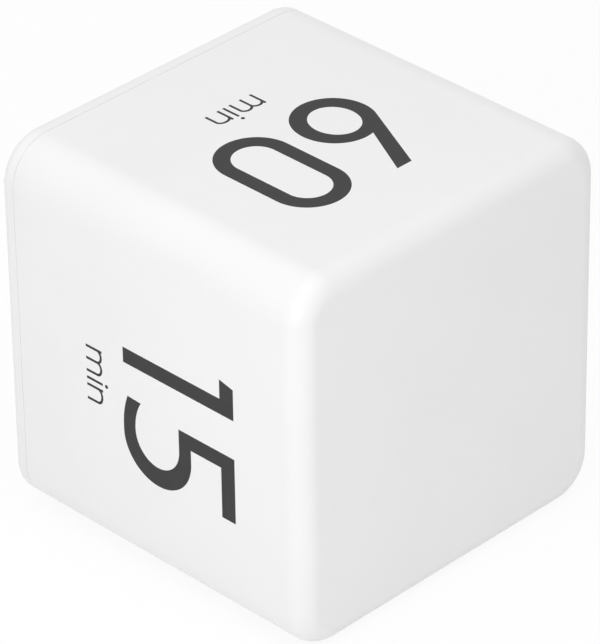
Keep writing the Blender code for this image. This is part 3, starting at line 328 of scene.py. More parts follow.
def drawn_metal(name, dark, light, roughness, stretch):
    """Plated metal with fine drawn lines along one axis."""
    shader = Shader(name)
    streak = shader.noise(0.4 * MM, detail=3.0, stretch=stretch)
    shader.set(base_color=shader.mix(streak, srgb(dark), srgb(light)), metallic=1.0)
    shader.set(roughness=roughness + 0.15 * streak)
    shader.bump(streak, 0.004 * MM, 0.4)
    return shader.material


def clear_acrylic():
    """Clear polished window with a trace of haze."""
    shader = Shader("clear_acrylic")
    haze = shader.noise(6 * MM, detail=3.0)
    shader.set(base_color=shader.mix(haze, srgb("FAFCFC"), srgb("FFFFFF")))
    shader.set(roughness=0.02 + 0.03 * haze, transmission_weight=1.0, ior=1.49)
    return shader.material


def display_glass():
    """Grey-green reflective display: an even polariser, with bare glass above it."""
    shader = Shader("display_glass")
    sheet = shader.noise(9 * MM)
    bare = shader.axis("Z").clamp(POLARISER_HIGH_Z, POLARISER_HIGH_Z + BORDER_SOFTNESS)
    ground = shader.mix(sheet, srgb("A3AB9B"), srgb("ACB4A3"))
    shader.set(base_color=shader.mix(bare, ground, srgb("6E7B74")))
    shader.set(roughness=0.16 + 0.1 * sheet, coat_weight=0.4)
    shader.bump(shader.noise(0.4 * MM), 0.002 * MM, 0.2)
    return shader.material


def striped_rubber():
    """Elastomer connector: thin black conducting layers between pale insulating ones."""
    shader = Shader("striped_rubber")
    layer = shader.stripes(shader.axis("X"), ZEBRA_PITCH, ZEBRA_SHARE)
    shader.set(base_color=shader.mix(layer, srgb("1A1A1A"), srgb("D8D2C8")))
    shader.set(roughness=0.6 + 0.1 * shader.noise(0.5 * MM))
    shader.bump(layer, 0.01 * MM, 0.4)
    return shader.material


def solder_mask():
    """Green board: straight tracks with slanted steps show as lighter, slightly raised lines."""
    shader = Shader("solder_mask")
    x, z = shader.axis("X"), shader.axis("Z")
    middle = (board_low.z + board_high.z) / 2

    def slant(along, start, drop=TRACK_STEP):
        """A step of 45 degrees: 0 before its start, then rising to the drop."""
        return drop * along.clamp(start, start + drop)

    # Upright tracks above a border with two steps, and level ones below it
    border = z + slant(x, -19 * MM, drop=5 * MM) - slant(x, 3 * MM, drop=8 * MM)
    zone = border.clamp(middle, middle + BORDER_SOFTNESS)
    level = z - slant(x, -13 * MM) + slant(x, 8 * MM)
    upright = x + slant(z, middle + 5 * MM)
    level_lines = shader.stripes(level, TRACK_PITCH, TRACK_SHARE)
    upright_lines = shader.stripes(upright, 1.2 * TRACK_PITCH, TRACK_SHARE)
    tracks = upright_lines * zone + level_lines * (1.0 - zone)
    cloud = shader.noise(6 * MM)
    ground = shader.mix(cloud, srgb("0D3B20"), srgb("103F23"))
    shader.set(base_color=shader.mix(tracks, ground, srgb("1C5C33")))
    shader.set(roughness=0.3 + 0.12 * shader.noise(2 * MM))
    shader.bump(tracks, 0.03 * MM, 0.5)
    return shader.material


def cell_wrap(name, negative_x, towards):
    """Cell: charcoal wrap with a copper-coloured band near the button, bare steel at both ends."""
    shader = Shader(name)
    along = (shader.axis("X") - negative_x) * towards
    top = along.clamp(WRAP_END - FINE_SOFTNESS, WRAP_END + FINE_SOFTNESS)
    foot = 1.0 - along.clamp(WRAP_START - FINE_SOFTNESS, WRAP_START + FINE_SOFTNESS)
    steel = (top + foot).clamp(0.0, 1.0)
    band = along.clamp(BAND_START, BAND_START + BORDER_SOFTNESS)
    cloud = shader.noise(6 * MM)
    dark = shader.mix(cloud, srgb("26292C"), srgb("2E3135"))
    copper = shader.mix(cloud, srgb("A86A3A"), srgb("B67845"))
    wrap = shader.mix(band, dark, copper)
    shader.set(base_color=shader.mix(steel, wrap, srgb("C9C8C4")))
    shader.set(metallic=steel.clamp(0.0, 1.0) + 0.6 * band * (1.0 - steel))
    shader.set(roughness=0.3 + 0.1 * shader.noise(1.5 * MM))
    shader.bump(shader.noise(1.0 * MM), 0.01 * MM, 0.2)
    return shader.material


def capacitor_sleeve():
    """Blue sleeve with a pale stripe down the negative side, and a bare aluminium end."""
    shader = Shader("capacitor_sleeve")
    middle = (can_low.z + can_high.z) / 2
    reach = (can_high.z - can_low.z) / 2
    stripe_low, stripe_full = middle + 0.6 * reach, middle + 0.65 * reach
    end_low, end_high = can_low.y + 0.05 * MM, can_low.y + 0.1 * MM
    stripe = shader.axis("Z").clamp(stripe_low, stripe_full)
    bare = 1.0 - shader.axis("Y").clamp(end_low, end_high)
    sleeve = shader.mix(stripe, srgb("1B2344"), srgb("B9BFCC"))
    shader.set(base_color=shader.mix(bare, sleeve, srgb("C4C5C8")), metallic=bare.clamp(0.0, 1.0))
    shader.set(roughness=0.35 + 0.1 * shader.noise(1.0 * MM))
    shader.bump(shader.noise(0.3 * MM), 0.004 * MM, 0.4)
    return shader.material


def chip_body(node):
    """Brown ceramic chip with tinned ends."""
    chip_low, chip_high = corners(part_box(node))
    shader = Shader(f"{node}_body")
    x = shader.axis("X")
    end = 0.22 * (chip_high.x - chip_low.x)
    left = 1.0 - x.clamp(chip_low.x + end, chip_low.x + end + FINE_SOFTNESS)
    right = x.clamp(chip_high.x - end - FINE_SOFTNESS, chip_high.x - end)
    tin = left + right
    brown = shader.mix(shader.noise(0.8 * MM), srgb("6B5A45"), srgb("7B6A52"))
    shader.set(base_color=shader.mix(tin, brown, srgb("C8C8C6")), metallic=tin.clamp(0.0, 1.0))
    shader.set(roughness=0.35 + 0.15 * shader.noise(0.4 * MM))
    shader.bump(shader.noise(0.2 * MM), 0.01 * MM, 0.4)
    return shader.material


# Shapes


def new_object(name, shape, *materials):
    """Turns a bmesh into an object in the scene, smooth all over, with no stored normals."""
    mesh = bpy.data.meshes.new(name)
    shape.to_mesh(mesh)
    shape.free()
    carried = mesh.attributes.get("custom_normal")
    if carried:
        mesh.attributes.remove(carried)
    made = bpy.data.objects.new(name, mesh)
    bpy.context.scene.collection.objects.link(made)
    for material in materials:
        mesh.materials.append(material)
    mesh.shade_smooth()
    return made


def crease(piece, angle):
    """Marks every edge sharper than an angle, in degrees, as sharp."""
    piece.data.set_sharp_from_angle(angle=math.radians(angle))


def in_plane(item, y):
    """Whether an edge or a face lies in the plane of one y."""
    return all(abs(corner.co.y - y) < NEAR for corner in item.verts)


def round_edges(shape, edges, width, steps, clamp=False):
    """Rounds edges of a bmesh over a width on both sides."""
    bmesh.ops.bevel(
        shape,
        geom=edges,
        offset=width,
        offset_type="OFFSET",
        segments=steps,
        profile=0.5,
        affect="EDGES",
        clamp_overlap=clamp,
        material=-1,
    )


def ease_face_edges(shape, y, width, angle):
    """Rounds the sharp edges in the plane of one y, such as those round a face's openings."""
    limit = math.radians(angle)
    sharp = [e for e in shape.edges if in_plane(e, y) and e.calc_face_angle(0.0) > limit]
    round_edges(shape, sharp, width, EASE_STEPS, clamp=True)


def ease_edges(piece, width, angle):
    """A small rounding along every edge sharper than an angle."""
    bevel = piece.modifiers.new("eased_edges", "BEVEL")
    bevel.width = width
    bevel.segments = 2
    bevel.limit_method = "ANGLE"
    bevel.angle_limit = math.radians(angle)


def even_shading(piece):
    """Keeps large flat faces flat beside the roundings."""
    weighted = piece.modifiers.new("even_shading", "WEIGHTED_NORMAL")
    weighted.keep_sharp = True


def settle(piece):
    """Turns a piece's modifiers into its mesh."""
    graph = bpy.context.evaluated_depsgraph_get()
    graph.update()
    result = bpy.data.meshes.new_from_object(piece.evaluated_get(graph))
    piece.modifiers.clear()
    piece.data = result


def cut_out(piece, tool):
    """Cuts a tool's shape out of a piece, and removes the tool."""
    cut = piece.modifiers.new("cut", "BOOLEAN")
    cut.operation = "DIFFERENCE"
    cut.solver = "EXACT"
    cut.object = tool
    bpy.context.view_layer.update()
    settle(piece)
    bpy.data.objects.remove(tool, do_unlink=True)


def add_box(shape, low, high):
    """Adds a box between two corners to a bmesh."""
    low, high = Vector(low), Vector(high)
    grown = bmesh.ops.create_cube(shape, size=1)["verts"]
    size = Matrix.Diagonal((*(high - low), 1))
    bmesh.ops.transform(shape, matrix=Matrix.Translation((low + high) / 2) @ size, verts=grown)


def turned(profile, direction, place):
    """A bmesh of a profile of (radius, height) points turned round a direction."""
    shape = bmesh.new()
    points = [shape.verts.new((radius, 0, height)) for radius, height in profile]
    edges = [shape.edges.new(pair) for pair in zip(points, points[1:])]
    full = {"axis": (0, 0, 1), "cent": (0, 0, 0), "angle": math.tau, "use_merge": True}
    bmesh.ops.spin(shape, geom=points + edges, steps=TURN_STEPS, **full)
    bmesh.ops.remove_doubles(shape, verts=shape.verts, dist=SAME / 10)
    bmesh.ops.recalc_face_normals(shape, faces=shape.faces[:])
    turn = Vector(direction).to_track_quat("Z", "Y").to_matrix().to_4x4()
    bmesh.ops.transform(shape, matrix=Matrix.Translation(place) @ turn, verts=shape.verts)
    return shape


def arc_through(edge, corner):
    """Centre and radius of the arc that a level edge and the next one at its corner belong to."""
    along = edge.other_vert(corner).co - corner.co
    for other in corner.link_edges:
        onward = other.other_vert(corner).co - corner.co
        turn = math.pi - along.angle(onward)
        level = max(abs(along.y), abs(onward.y)) < SAME
        alike = abs(onward.length - along.length) < ARC_EVENNESS * along.length
        if level and alike and ARC_LEAST_TURN < turn < ARC_MOST_TURN:
            radius = along.length / (2 * math.sin(turn / 2))
            return corner.co + (along + onward).normalized() * radius, radius
    return None


def round_arcs(shape, cuts=2):
    """Splits the sides of every faceted arc in a Y plane, with the new points on the arc."""
    places = {}
    for edge in shape.edges:
        arcs = [found for corner in edge.verts if (found := arc_through(edge, corner))]
        if arcs:
            places[edge] = arcs[0]
    tree = kdtree.KDTree(cuts * len(places))
    targets = []
    for edge, (centre, radius) in places.items():
        first, last = (corner.co.copy() for corner in edge.verts)
        for cut in range(1, cuts + 1):
            place = first.lerp(last, cut / (cuts + 1))
            tree.insert(place, len(targets))
            targets.append(centre + (place - centre).normalized() * radius)
    tree.balance()
    old = set(shape.verts)
    many_sided = [f for f in shape.faces if len(f.verts) > 4 and any(e in places for e in f.edges)]
    bmesh.ops.triangulate(shape, faces=many_sided)
    bmesh.ops.subdivide_edges(shape, edges=list(places), cuts=cuts, use_single_edge=True)
    for vertex in set(shape.verts) - old:
        place, index, distance = tree.find(vertex.co)
        if distance < SAME:
            vertex.co = targets[index]


def smooth_copy(node, material, body, angle=CREASE, ease=0.0, arcs=False, rear_ease=0.0):
    """A node's own shape, smoothed: all its edges may be eased, or those of its rear face."""
    shape = bmesh.new()
    shape.from_mesh(nodes[node].data)
    bmesh.ops.remove_doubles(shape, verts=shape.verts, dist=SAME)
    flat = math.radians(0.2)
    bmesh.ops.dissolve_limit(shape, angle_limit=flat, verts=shape.verts, edges=shape.edges)
    if rear_ease:
        ease_face_edges(shape, REAR_Y, rear_ease, angle)
    if arcs:
        round_arcs(shape)
    piece = new_object(f"{node}_finished", shape, material)
    crease(piece, angle)
    if ease:
        ease_edges(piece, ease, angle)
    even_shading(piece)
    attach(piece, body)
    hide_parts(node)


def arc(centre, radius, start, end, steps):
    """Points on an arc or, with two radii, on part of an ellipse, by angles in degrees."""
    across, upward = radius if isinstance(radius, tuple) else (radius, radius)
    turn = [math.radians(start + (end - start) * i / steps) for i in range(steps + 1)]
    return [(centre[0] + across * math.cos(a), centre[1] + upward * math.sin(a)) for a in turn]


def round_rectangle(low, high, radius, steps):
    """Points round a rectangle with round corners, from its right side on against the clock."""
    left, right = low[0] + radius, high[0] - radius
    bottom, top = low[1] + radius, high[1] - radius
    return (
        arc((right, top), radius, 0, 90, steps)
        + arc((left, top), radius, 90, 180, steps)
        + arc((left, bottom), radius, 180, 270, steps)
        + arc((right, bottom), radius, 270, 360, steps)
    )


# Housing


def wall_box(shape, place, wall, width, outer, inner, start, end):
    """A box beside one wall: outer and inner are its distances in from the case's surface."""
    low, high = place - width / 2, place + width / 2
    if wall == "bottom":
        add_box(shape, (low, start, outer), (high, end, inner))
    elif wall == "top":
        add_box(shape, (low, start, CASE_SIDE - inner), (high, end, CASE_SIDE - outer))
    elif wall == "left":
        add_box(shape, (outer - HALF_SIDE, start, low), (inner - HALF_SIDE, end, high))
    else:
        add_box(shape, (HALF_SIDE - inner, start, low), (HALF_SIDE - outer, end, high))


def hook_pockets():
    """The hollows in the walls that the snap hooks' noses fall into."""
    shape = bmesh.new()
    spread, middle = HOOK_SPREAD / 2, CASE_SIDE - SIDE_HOOK_DROP
    tip = cover_low.y
    places = [(-spread, "top"), (spread, "top"), (-spread, "bottom"), (spread, "bottom")]
    places += [(middle, "left"), (middle, "right")]
    depth = (WALL - HOOK_NOSE_HEIGHT, WALL + HOOK_ROOM)
    ends = (tip - HOOK_ROOM, tip + HOOK_NOSE_LENGTH + HOOK_ROOM)
    for place, wall in places:
        wall_box(shape, place, wall, HOOK_WIDTH + 2 * HOOK_ROOM, *depth, *ends)
    return new_object("pockets", shape)


def make_housing():
    """The five-walled shell, hollow, with its wall ribs and hook pockets."""
    rim = RIM_Y + SEAM_CLOSING
    shape = bmesh.new()
    outline = round_rectangle((-HALF_SIDE, 0), (HALF_SIDE, CASE_SIDE), SIDE_RADIUS, ROUND_STEPS)
    face = shape.faces.new([shape.verts.new((x, FRONT_Y, z)) for x, z in outline])
    grown = bmesh.ops.extrude_face_region(shape, geom=[face])["geom"]
    moved = [item for item in grown if isinstance(item, bmesh.types.BMVert)]
    bmesh.ops.translate(shape, verts=moved, vec=(0, rim - FRONT_Y, 0))
    open_end = [f for f in shape.faces if in_plane(f, rim)]
    bmesh.ops.delete(shape, geom=open_end, context="FACES_ONLY")
    bmesh.ops.recalc_face_normals(shape, faces=shape.faces[:])
    front_edges = [e for e in shape.edges if in_plane(e, FRONT_Y)]
    round_edges(shape, front_edges, FRONT_RADIUS, FILLET_STEPS)
    outward = sum((f.calc_center_median().dot(f.normal) for f in shape.faces), 0.0)
    if outward < 0:
        bmesh.ops.reverse_faces(shape, faces=shape.faces[:])
    bmesh.ops.solidify(shape, geom=shape.faces[:], thickness=WALL)
    outer_rim = [e for e in shape.edges if on_outer_rim(e, rim)]
    round_edges(shape, outer_rim, SEAM_RADIUS, SEAM_STEPS)
    housing = new_object("housing_shell", shape, WHITE)
    cut_out(housing, hook_pockets())
    ribs = bmesh.new()
    ribs.from_mesh(housing.data)
    depth = (WALL - HOOK_ROOM, WALL + STIFFENER_HEIGHT)
    ends = (FRONT_Y + WALL - HOOK_ROOM, RIM_Y - RIB_SETBACK)
    for place, wall in ((0, "top"), (0, "bottom"), (HALF_SIDE, "left"), (HALF_SIDE, "right")):
        wall_box(ribs, place, wall, STIFFENER_WIDTH, *depth, *ends)
    ribs.to_mesh(housing.data)
    ribs.free()
    crease(housing, CASE_CREASE)
    even_shading(housing)
    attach(housing, "case")
    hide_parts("housing")


def on_outer_rim(edge, rim):
    """Whether an edge lies on the shell's outer rim, along a side or round a corner."""
    middle = (edge.verts[0].co + edge.verts[1].co) / 2
    reach = Vector((abs(middle.x), abs(middle.z - HALF_SIDE)))
    corner = reach - Vector((1, 1)) * (HALF_SIDE - SIDE_RADIUS)
    if min(corner) > 0:
        outside = corner.length > SIDE_RADIUS - WALL / 2
    else:
        outside = max(reach) > HALF_SIDE - WALL / 2
    return outside and in_plane(edge, rim)


# Numerals and letters, each a list of loops on the baseline: its outline, then its hole


def digit_zero():
    """A ring of two half circles with straight sides between them."""
    width, top = 12.75 * MM, DIGIT_HEIGHT + OVERSHOOT
    outer = round_rectangle((0, -OVERSHOOT), (width, top), width / 2, ARC_STEPS)
    low, high = (STROKE, STROKE - OVERSHOOT), (width - STROKE, top - STROKE)
    return [outer, round_rectangle(low, high, width / 2 - STROKE, ARC_STEPS)]


def digit_one():
    """A stem with a flag whose end leans."""
    foot, top_left, flag = 3.35 * MM, 0.65 * MM, DIGIT_HEIGHT - TOP_BAR
    right = foot + STROKE
    top = [(top_left, DIGIT_HEIGHT), (right, DIGIT_HEIGHT)]
    return [top + [(right, 0), (foot, 0), (foot, flag), (0, flag)]]


def digit_three():
    """Two bowls that meet at a waist, with a bar into it."""
    upper, lower = (6.1 * MM, 17.2 * MM), (6.2 * MM, 6.85 * MM)
    upper_radii, lower_radii = (5.6 * MM, 5.95 * MM), (6.5 * MM, 7.0 * MM)
    inner_upper = tuple(r - STROKE for r in upper_radii)
    inner_lower = tuple(r - STROKE for r in lower_radii)
    bar_end, tip = 4.0 * MM, 152
    waist_above, waist_below = -49.7, 56.8
    return [
        arc(upper, upper_radii, tip, waist_above, ARC_STEPS)
        + arc(lower, lower_radii, waist_below, -tip, ARC_STEPS)
        + arc(lower, inner_lower, -tip, 90, ARC_STEPS)
        + [(bar_end, lower[1] + inner_lower[1]), (bar_end, upper[1] - inner_upper[1])]
        + arc(upper, inner_upper, -90, tip, ARC_STEPS)
    ]


def digit_five():
    """A bar, a short stem and a bowl whose tail flattens in two wider arcs."""
    stem, bar_end, bar_low = 1.05 * MM, 12.4 * MM, DIGIT_HEIGHT - TOP_BAR
    outer, inner = (6.2 * MM, 6.8 * MM), (5.1 * MM, 6.8 * MM)
    outer_radius, inner_radii = 7.1 * MM, (4.9 * MM, 4.6 * MM)
    tail_outer = ((5.4 * MM, 14.78 * MM), 15.08 * MM)
    tail_inner = ((4.9 * MM, 11.53 * MM), 9.33 * MM)
    tip_outer, tip_inner = -111, -120.6
    shoulder = outer[1] + outer_radius
    right = stem + STROKE
    bar = [(stem, DIGIT_HEIGHT), (bar_end, DIGIT_HEIGHT), (bar_end, bar_low)]
    return [
        bar
        + [(right, bar_low), (right, shoulder)]
        + arc(outer, outer_radius, 90, -90, ARC_STEPS)
        + arc(*tail_outer, -90, tip_outer, ARC_STEPS // 4)
        + arc(*tail_inner, tip_inner, -90, ARC_STEPS // 4)
        + arc(inner, inner_radii, -90, 90, ARC_STEPS)
        + [(stem, inner[1] + inner_radii[1])]
    ]


def digit_six():
    """A round bowl with a straight leaning tail that leaves it along its tangent."""
    bowl, radii = (6.55 * MM, 6.65 * MM), (6.55 * MM, 6.8 * MM)
    eye, eye_radii = (6.52 * MM, 6.78 * MM), (3.83 * MM, 4.32 * MM)
    left, right = (7.1 * MM, DIGIT_HEIGHT), (10.1 * MM, DIGIT_HEIGHT)
    seen = ((left[0] - bowl[0]) / radii[0], (left[1] - bowl[1]) / radii[1])
    tangent = math.degrees(math.atan2(seen[1], seen[0]) + math.acos(1 / math.hypot(*seen)))
    tail_foot = 102.8
    return [
        [left, right] + arc(bowl, radii, tail_foot, tangent - 360, 2 * ARC_STEPS),
        arc(eye, eye_radii, 0, 360, 2 * ARC_STEPS)[:-1],
    ]


def arches(pitch, count):
    """An n with one arch, or an m with two: the middle of its left stem is at zero."""
    half, rise = SMALL_STROKE / 2, 1.1 * MM
    spring = SMALL_HEIGHT - rise
    outer, inner = (pitch / 2 + half, rise), (pitch / 2 - half, rise - SMALL_STROKE)
    start = 180 - math.degrees(math.acos((pitch / 2 - half) / outer[0]))
    meet = math.degrees(math.acos(pitch / 2 / outer[0]))
    outline = [(-half, 0), (-half, SMALL_HEIGHT), (half, SMALL_HEIGHT)]
    for index in range(count):
        centre = (pitch * (index + 0.5), spring)
        first = start if index == 0 else 180 - meet
        last = meet if index < count - 1 else 0
        outline += arc(centre, outer, first, last, ARC_STEPS // 2)
    for index in reversed(range(count)):
        outline += [(pitch * (index + 1) + half, 0)] if index == count - 1 else []
        outline += [(pitch * (index + 1) - half, 0)]
        outline += arc((pitch * (index + 0.5), spring), inner, 0, 180, ARC_STEPS // 2)
        outline += [(pitch * index + half, 0)]
    return [outline]


def letter_i():
    """A stem and a round dot, as two glyphs."""
    half = SMALL_STROKE / 2
    stem = [(-half, 0), (half, 0), (half, SMALL_HEIGHT), (-half, SMALL_HEIGHT)]
    dot_rise, dot_radius = 0.8 * MM, 0.33 * MM
    dot = arc((0, SMALL_HEIGHT + dot_rise), dot_radius, 0, 360, ARC_STEPS)[:-1]
    return [stem], [dot]


def word_min(left, baseline):
    """The word under each number, as glyphs with their places."""
    stem, dot = letter_i()
    m, n = arches(2.15 * MM, 2), arches(2.45 * MM, 1)
    i_place, n_place = 5.6 * MM, 6.8 * MM
    parts = ((m, 0), (stem, i_place), (dot, i_place), (n, n_place))
    return [(loops, left + place, baseline) for loops, place in parts]


def letter_o(width, height, stroke):
    """A narrow O, its corners a little short of full half circles."""
    radius, share = width / 2, 0.98
    outer = round_rectangle((0, 0), (width, height), radius * share, ARC_STEPS // 2)
    low, high = (stroke, stroke), (width - stroke, height - stroke)
    return [outer, round_rectangle(low, high, (radius - stroke) * share, ARC_STEPS // 2)]


def letter_n(width, height, stroke):
    """A capital N."""
    slope = 1.5 * stroke
    rising = [(0, 0), (0, height), (stroke, height), (width - stroke, slope)]
    falling = [(width - stroke, height), (width, height), (width, 0), (width - stroke, 0)]
    return [rising + falling + [(stroke, height - slope), (stroke, 0)]]


def letter_f(width, height, stroke):
    """A capital F."""
    upper, lower, bar = height / 2 + stroke / 2, height / 2 - stroke / 2, 0.85 * width
    below = height - stroke
    top = [(0, 0), (0, height), (width, height), (width, below), (stroke, below)]
    return [top + [(stroke, upper), (bar, upper), (bar, lower), (stroke, lower), (stroke, 0)]]


def filled(glyphs):
    """A flat bmesh of glyphs, each given as (loops, left end, baseline)."""
    shape = bmesh.new()
    for loops, left, baseline in glyphs:
        glyph = bmesh.new()
        for loop in loops:
            points = [glyph.verts.new((x + left, y + baseline, 0)) for x, y in loop]
            for pair in zip(points, points[1:] + points[:1]):
                glyph.edges.new(pair)
        bmesh.ops.remove_doubles(glyph, verts=glyph.verts, dist=SAME)
        plan = {"use_beauty": True, "use_dissolve": False, "normal": (0, 0, 1)}
        bmesh.ops.triangle_fill(glyph, edges=glyph.edges[:], **plan)
        flat = bpy.data.meshes.new("glyph")
        glyph.to_mesh(flat)
        glyph.free()
        shape.from_mesh(flat)
        bpy.data.meshes.remove(flat)
    return shape


def lay_on(name, glyphs, matrix, material, body, slot, thickness=INK_THICKNESS, rise=INK_RISE):
    """Glyphs as a thin film: its face stands a little proud of the plane that it lies on."""
    shape = filled(glyphs)
    grown = bmesh.ops.extrude_face_region(shape, geom=shape.faces[:])["geom"]
    moved = [item for item in grown if isinstance(item, bmesh.types.BMVert)]
    bmesh.ops.translate(shape, verts=moved, vec=(0, 0, -thickness))
    bmesh.ops.translate(shape, verts=shape.verts, vec=(0, 0, rise))
    bmesh.ops.recalc_face_normals(shape, faces=shape.faces[:])
    bmesh.ops.transform(shape, matrix=matrix, verts=shape.verts)
    film = new_object(name, shape, material)
    crease(film, CREASE)
    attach(film, body)


def face_matrix(quarter_turns):
    """From a face's text plane to the case: the top face first, then on round past -X."""
    text = Matrix(((-1, 0, 0, 0), (0, -1, 0, 0), (0, 0, 1, HALF_SIDE), (0, 0, 0, 1)))
    turn = Matrix.Rotation(math.radians(-90 * quarter_turns), 4, "Y")
    return Matrix.Translation((0, 0, HALF_SIDE)) @ turn @ text


def make_numerals():
    """The numbers on four faces, placed in millimetres from the middle of each face."""
    zero, one, three, five, six = (
        digit_zero(), digit_one(), digit_three(), digit_five(), digit_six()
    )
    # The baselines of the number and of its word, then each left end
    top, side = (-6.25, -14.05), (-5.6, -13.6)
    faces = (
        ("top", top, -3.6, ((six, -13.3), (zero, 2.7))),
        ("left", side, -4.2, ((one, -10.75), (five, 0.9))),
        ("bottom", side, -4.0, ((three, -12.9), (zero, 2.7))),
        ("right", side, -4.6, ((five, -6.6),)),
    )
    for turns, (name, (line, word_line), word_left, digits) in enumerate(faces):
        glyphs = [(digit, left * MM, line * MM) for digit, left in digits]
        glyphs += word_min(word_left * MM, word_line * MM)
        lay_on(f"{name}_numerals", glyphs, face_matrix(turns), INK, "case", "white_case")


def rear_matrix(z, y):
    """From a text plane to one at a height and a depth that is read from behind."""
    return Matrix(((-1, 0, 0, 0), (0, 0, 1, y), (0, 1, 0, z), (0, 0, 0, 1)))


def make_legends():
    """ON and OFF beside the switch's dish."""
    row = (knob_low.z + knob_high.z) / 2 - LEGEND_HEIGHT / 2
    width, narrow, step, closer = 1.15 * MM, 0.95 * MM, 1.55 * MM, 0.15 * MM
    o = letter_o(width, LEGEND_HEIGHT, LEGEND_STROKE)
    n = letter_n(width, LEGEND_HEIGHT, LEGEND_STROKE)
    f = letter_f(narrow, LEGEND_HEIGHT, LEGEND_STROKE)
    on_left, off_left = -7.5 * MM, -24.9 * MM
    glyphs = [(o, on_left, 0), (n, on_left + step, 0)]
    glyphs += [(o, off_left, 0), (f, off_left + step, 0), (f, off_left + 2 * step - closer, 0)]
    lay_on("switch_legends", glyphs, rear_matrix(row, REAR_Y), INK, "case", "white_case")


# Display


def segment(start, end):
    """One bar with pointed ends between two corners of a digit."""
    start, end = Vector(start), Vector(end)
    ahead = (end - start).normalized()
    side = Vector((-ahead.y, ahead.x)) * SEGMENT / 2
    tip, shoulder = ahead * SEGMENT_GAP, ahead * (SEGMENT_GAP + SEGMENT / 2)
    first = [start + tip, start + shoulder - side, end - shoulder - side]
    second = [end - tip, end - shoulder + side, start + shoulder + side]
    return [[tuple(point) for point in first + second]]


def digit_bars(left):
    """The seven bars of one digit by their letters, slanted."""
    width, height = SEGMENT_DIGIT
    places = {
        "a": ((0, 2), (1, 2)),
        "b": ((1, 2), (1, 1)),
        "c": ((1, 1), (1, 0)),
        "d": ((1, 0), (0, 0)),
        "e": ((0, 0), (0, 1)),
        "f": ((0, 1), (0, 2)),
        "g": ((0, 1), (1, 1)),
    }
    bars = {}
    for name, ends in places.items():
        start, end = ((x * width, y * height / 2) for x, y in ends)
        bars[name] = [[(x + SEGMENT_SLANT * y + left, y) for x, y in segment(start, end)[0]]]
    return bars


def make_digits():
    """60:00, as it stands when the 60 face is up, and faint bars where none is dark."""
    width, height = SEGMENT_DIGIT
    lit = {"6": "acdefg", "0": "abcdef"}
    whole = 3 * SEGMENT_PITCH + COLON_ROOM + width
    shown, faint = [], []
    for index, value in enumerate("6000"):
        left = index * SEGMENT_PITCH + (COLON_ROOM if index > 1 else 0) - whole / 2
        for name, loops in digit_bars(left).items():
            (shown if name in lit[value] else faint).append((loops, 0, -height / 2))
    middle = SEGMENT_PITCH + width + (SEGMENT_PITCH - width + COLON_ROOM) / 2 - whole / 2
    for y in (-COLON_RISE * height, COLON_RISE * height):
        dot = round_rectangle((0, 0), (SEGMENT, SEGMENT), COLON_CORNER, 3)
        shown.append(([dot], middle - SEGMENT / 2 + SEGMENT_SLANT * y, y - SEGMENT / 2))
    matrix = rear_matrix(WINDOW_Z, glass_high.y)
    lay_on("shown_segments", shown, matrix, SHOWN, "case", "lcd_glass")
    lay_on("faint_segments", faint, matrix, FAINT, "case", "lcd_glass")


# Cells, contacts and circuit board


def make_cell(node, towards, material):
    """One cell, turned: a flat foot, the wrap folded over both ends, and the button."""
    cell_low, cell_high = corners(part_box(node))
    middle = (cell_low + cell_high) / 2
    foot = Vector((middle.x - towards * CELL_LENGTH / 2, middle.y, middle.z))
    shape = turned([(r * MM, h * MM) for r, h in CELL_PROFILE], (towards, 0, 0), foot)
    cell = new_object(f"{node}_finished", shape, material)
    crease(cell, CELL_CREASE)
    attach(cell, "case")
    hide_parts(node)


def make_ball():
    """The steel ball that rolls in the gravity sensor."""
    ball_low, ball_high = corners(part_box("sensor_ball"))
    shape = bmesh.new()
    size = {"u_segments": 48, "v_segments": 24, "radius": (ball_high.x - ball_low.x) / 2}
    place = Matrix.Translation((ball_low + ball_high) / 2)
    bmesh.ops.create_uvsphere(shape, matrix=place, **size)
    ball = new_object("sensor_ball_finished", shape, STEEL)
    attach(ball, "ball")
    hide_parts("sensor_ball")


def front_matrix(x, y, z):
    """From a text plane to one at a place inside the case that is read from the front."""
    return Matrix.Translation((x, y, z)) @ Matrix.Rotation(math.radians(90), 4, "X")


def make_rings():
    """Bare tinned rings round the board's screw holes, on the face that the heads press on."""
    loops = [arc((0, 0), radius, 0, 360, ARC_STEPS)[:-1] for radius in RING_RADII]
    for number in range(1, 5):
        screw_low, screw_high = corners(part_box(f"board_screw_{number}"))
        middle = (screw_low + screw_high) / 2
        matrix = front_matrix(middle.x, board_low.y, middle.z)
        name = f"board_ring_{number}"
        lay_on(name, [(loops, 0, 0)], matrix, SOLDER, "case", "green_laminate")


def cell_mark(towards):
    """A cell's outline with a plus and a minus, as it is marked inside the door."""
    half, reach, line = 19.6 * MM, 3.9 * MM, 0.35 * MM
    nub, step = 1.4 * MM, 0.9 * MM
    outer = [
        (-half, -reach), (half, -reach), (half, -nub), (half + step, -nub),
        (half + step, nub), (half, nub), (half, reach), (-half, reach),
    ]
    low, high = (line - half, line - reach), (half - line, reach - line)
    inner = [low, (high[0], low[1]), high, (low[0], high[1])]
    arm, thick, place = 1.1 * MM, 0.2 * MM, half - 2.2 * MM
    plus = [
        (-arm, -thick), (-thick, -thick), (-thick, -arm), (thick, -arm),
        (thick, -thick), (arm, -thick), (arm, thick), (thick, thick),
        (thick, arm), (-thick, arm), (-thick, thick), (-arm, thick),
    ]
    minus = [(-arm, -thick), (arm, -thick), (arm, thick), (-arm, thick)]
    glyphs = []
    for loops, left in (([outer, inner], 0), ([plus], place), ([minus], -place)):
        faced = [[(towards * x, y) for x, y in loop] for loop in loops]
        glyphs.append((faced, towards * left, 0))
    return glyphs


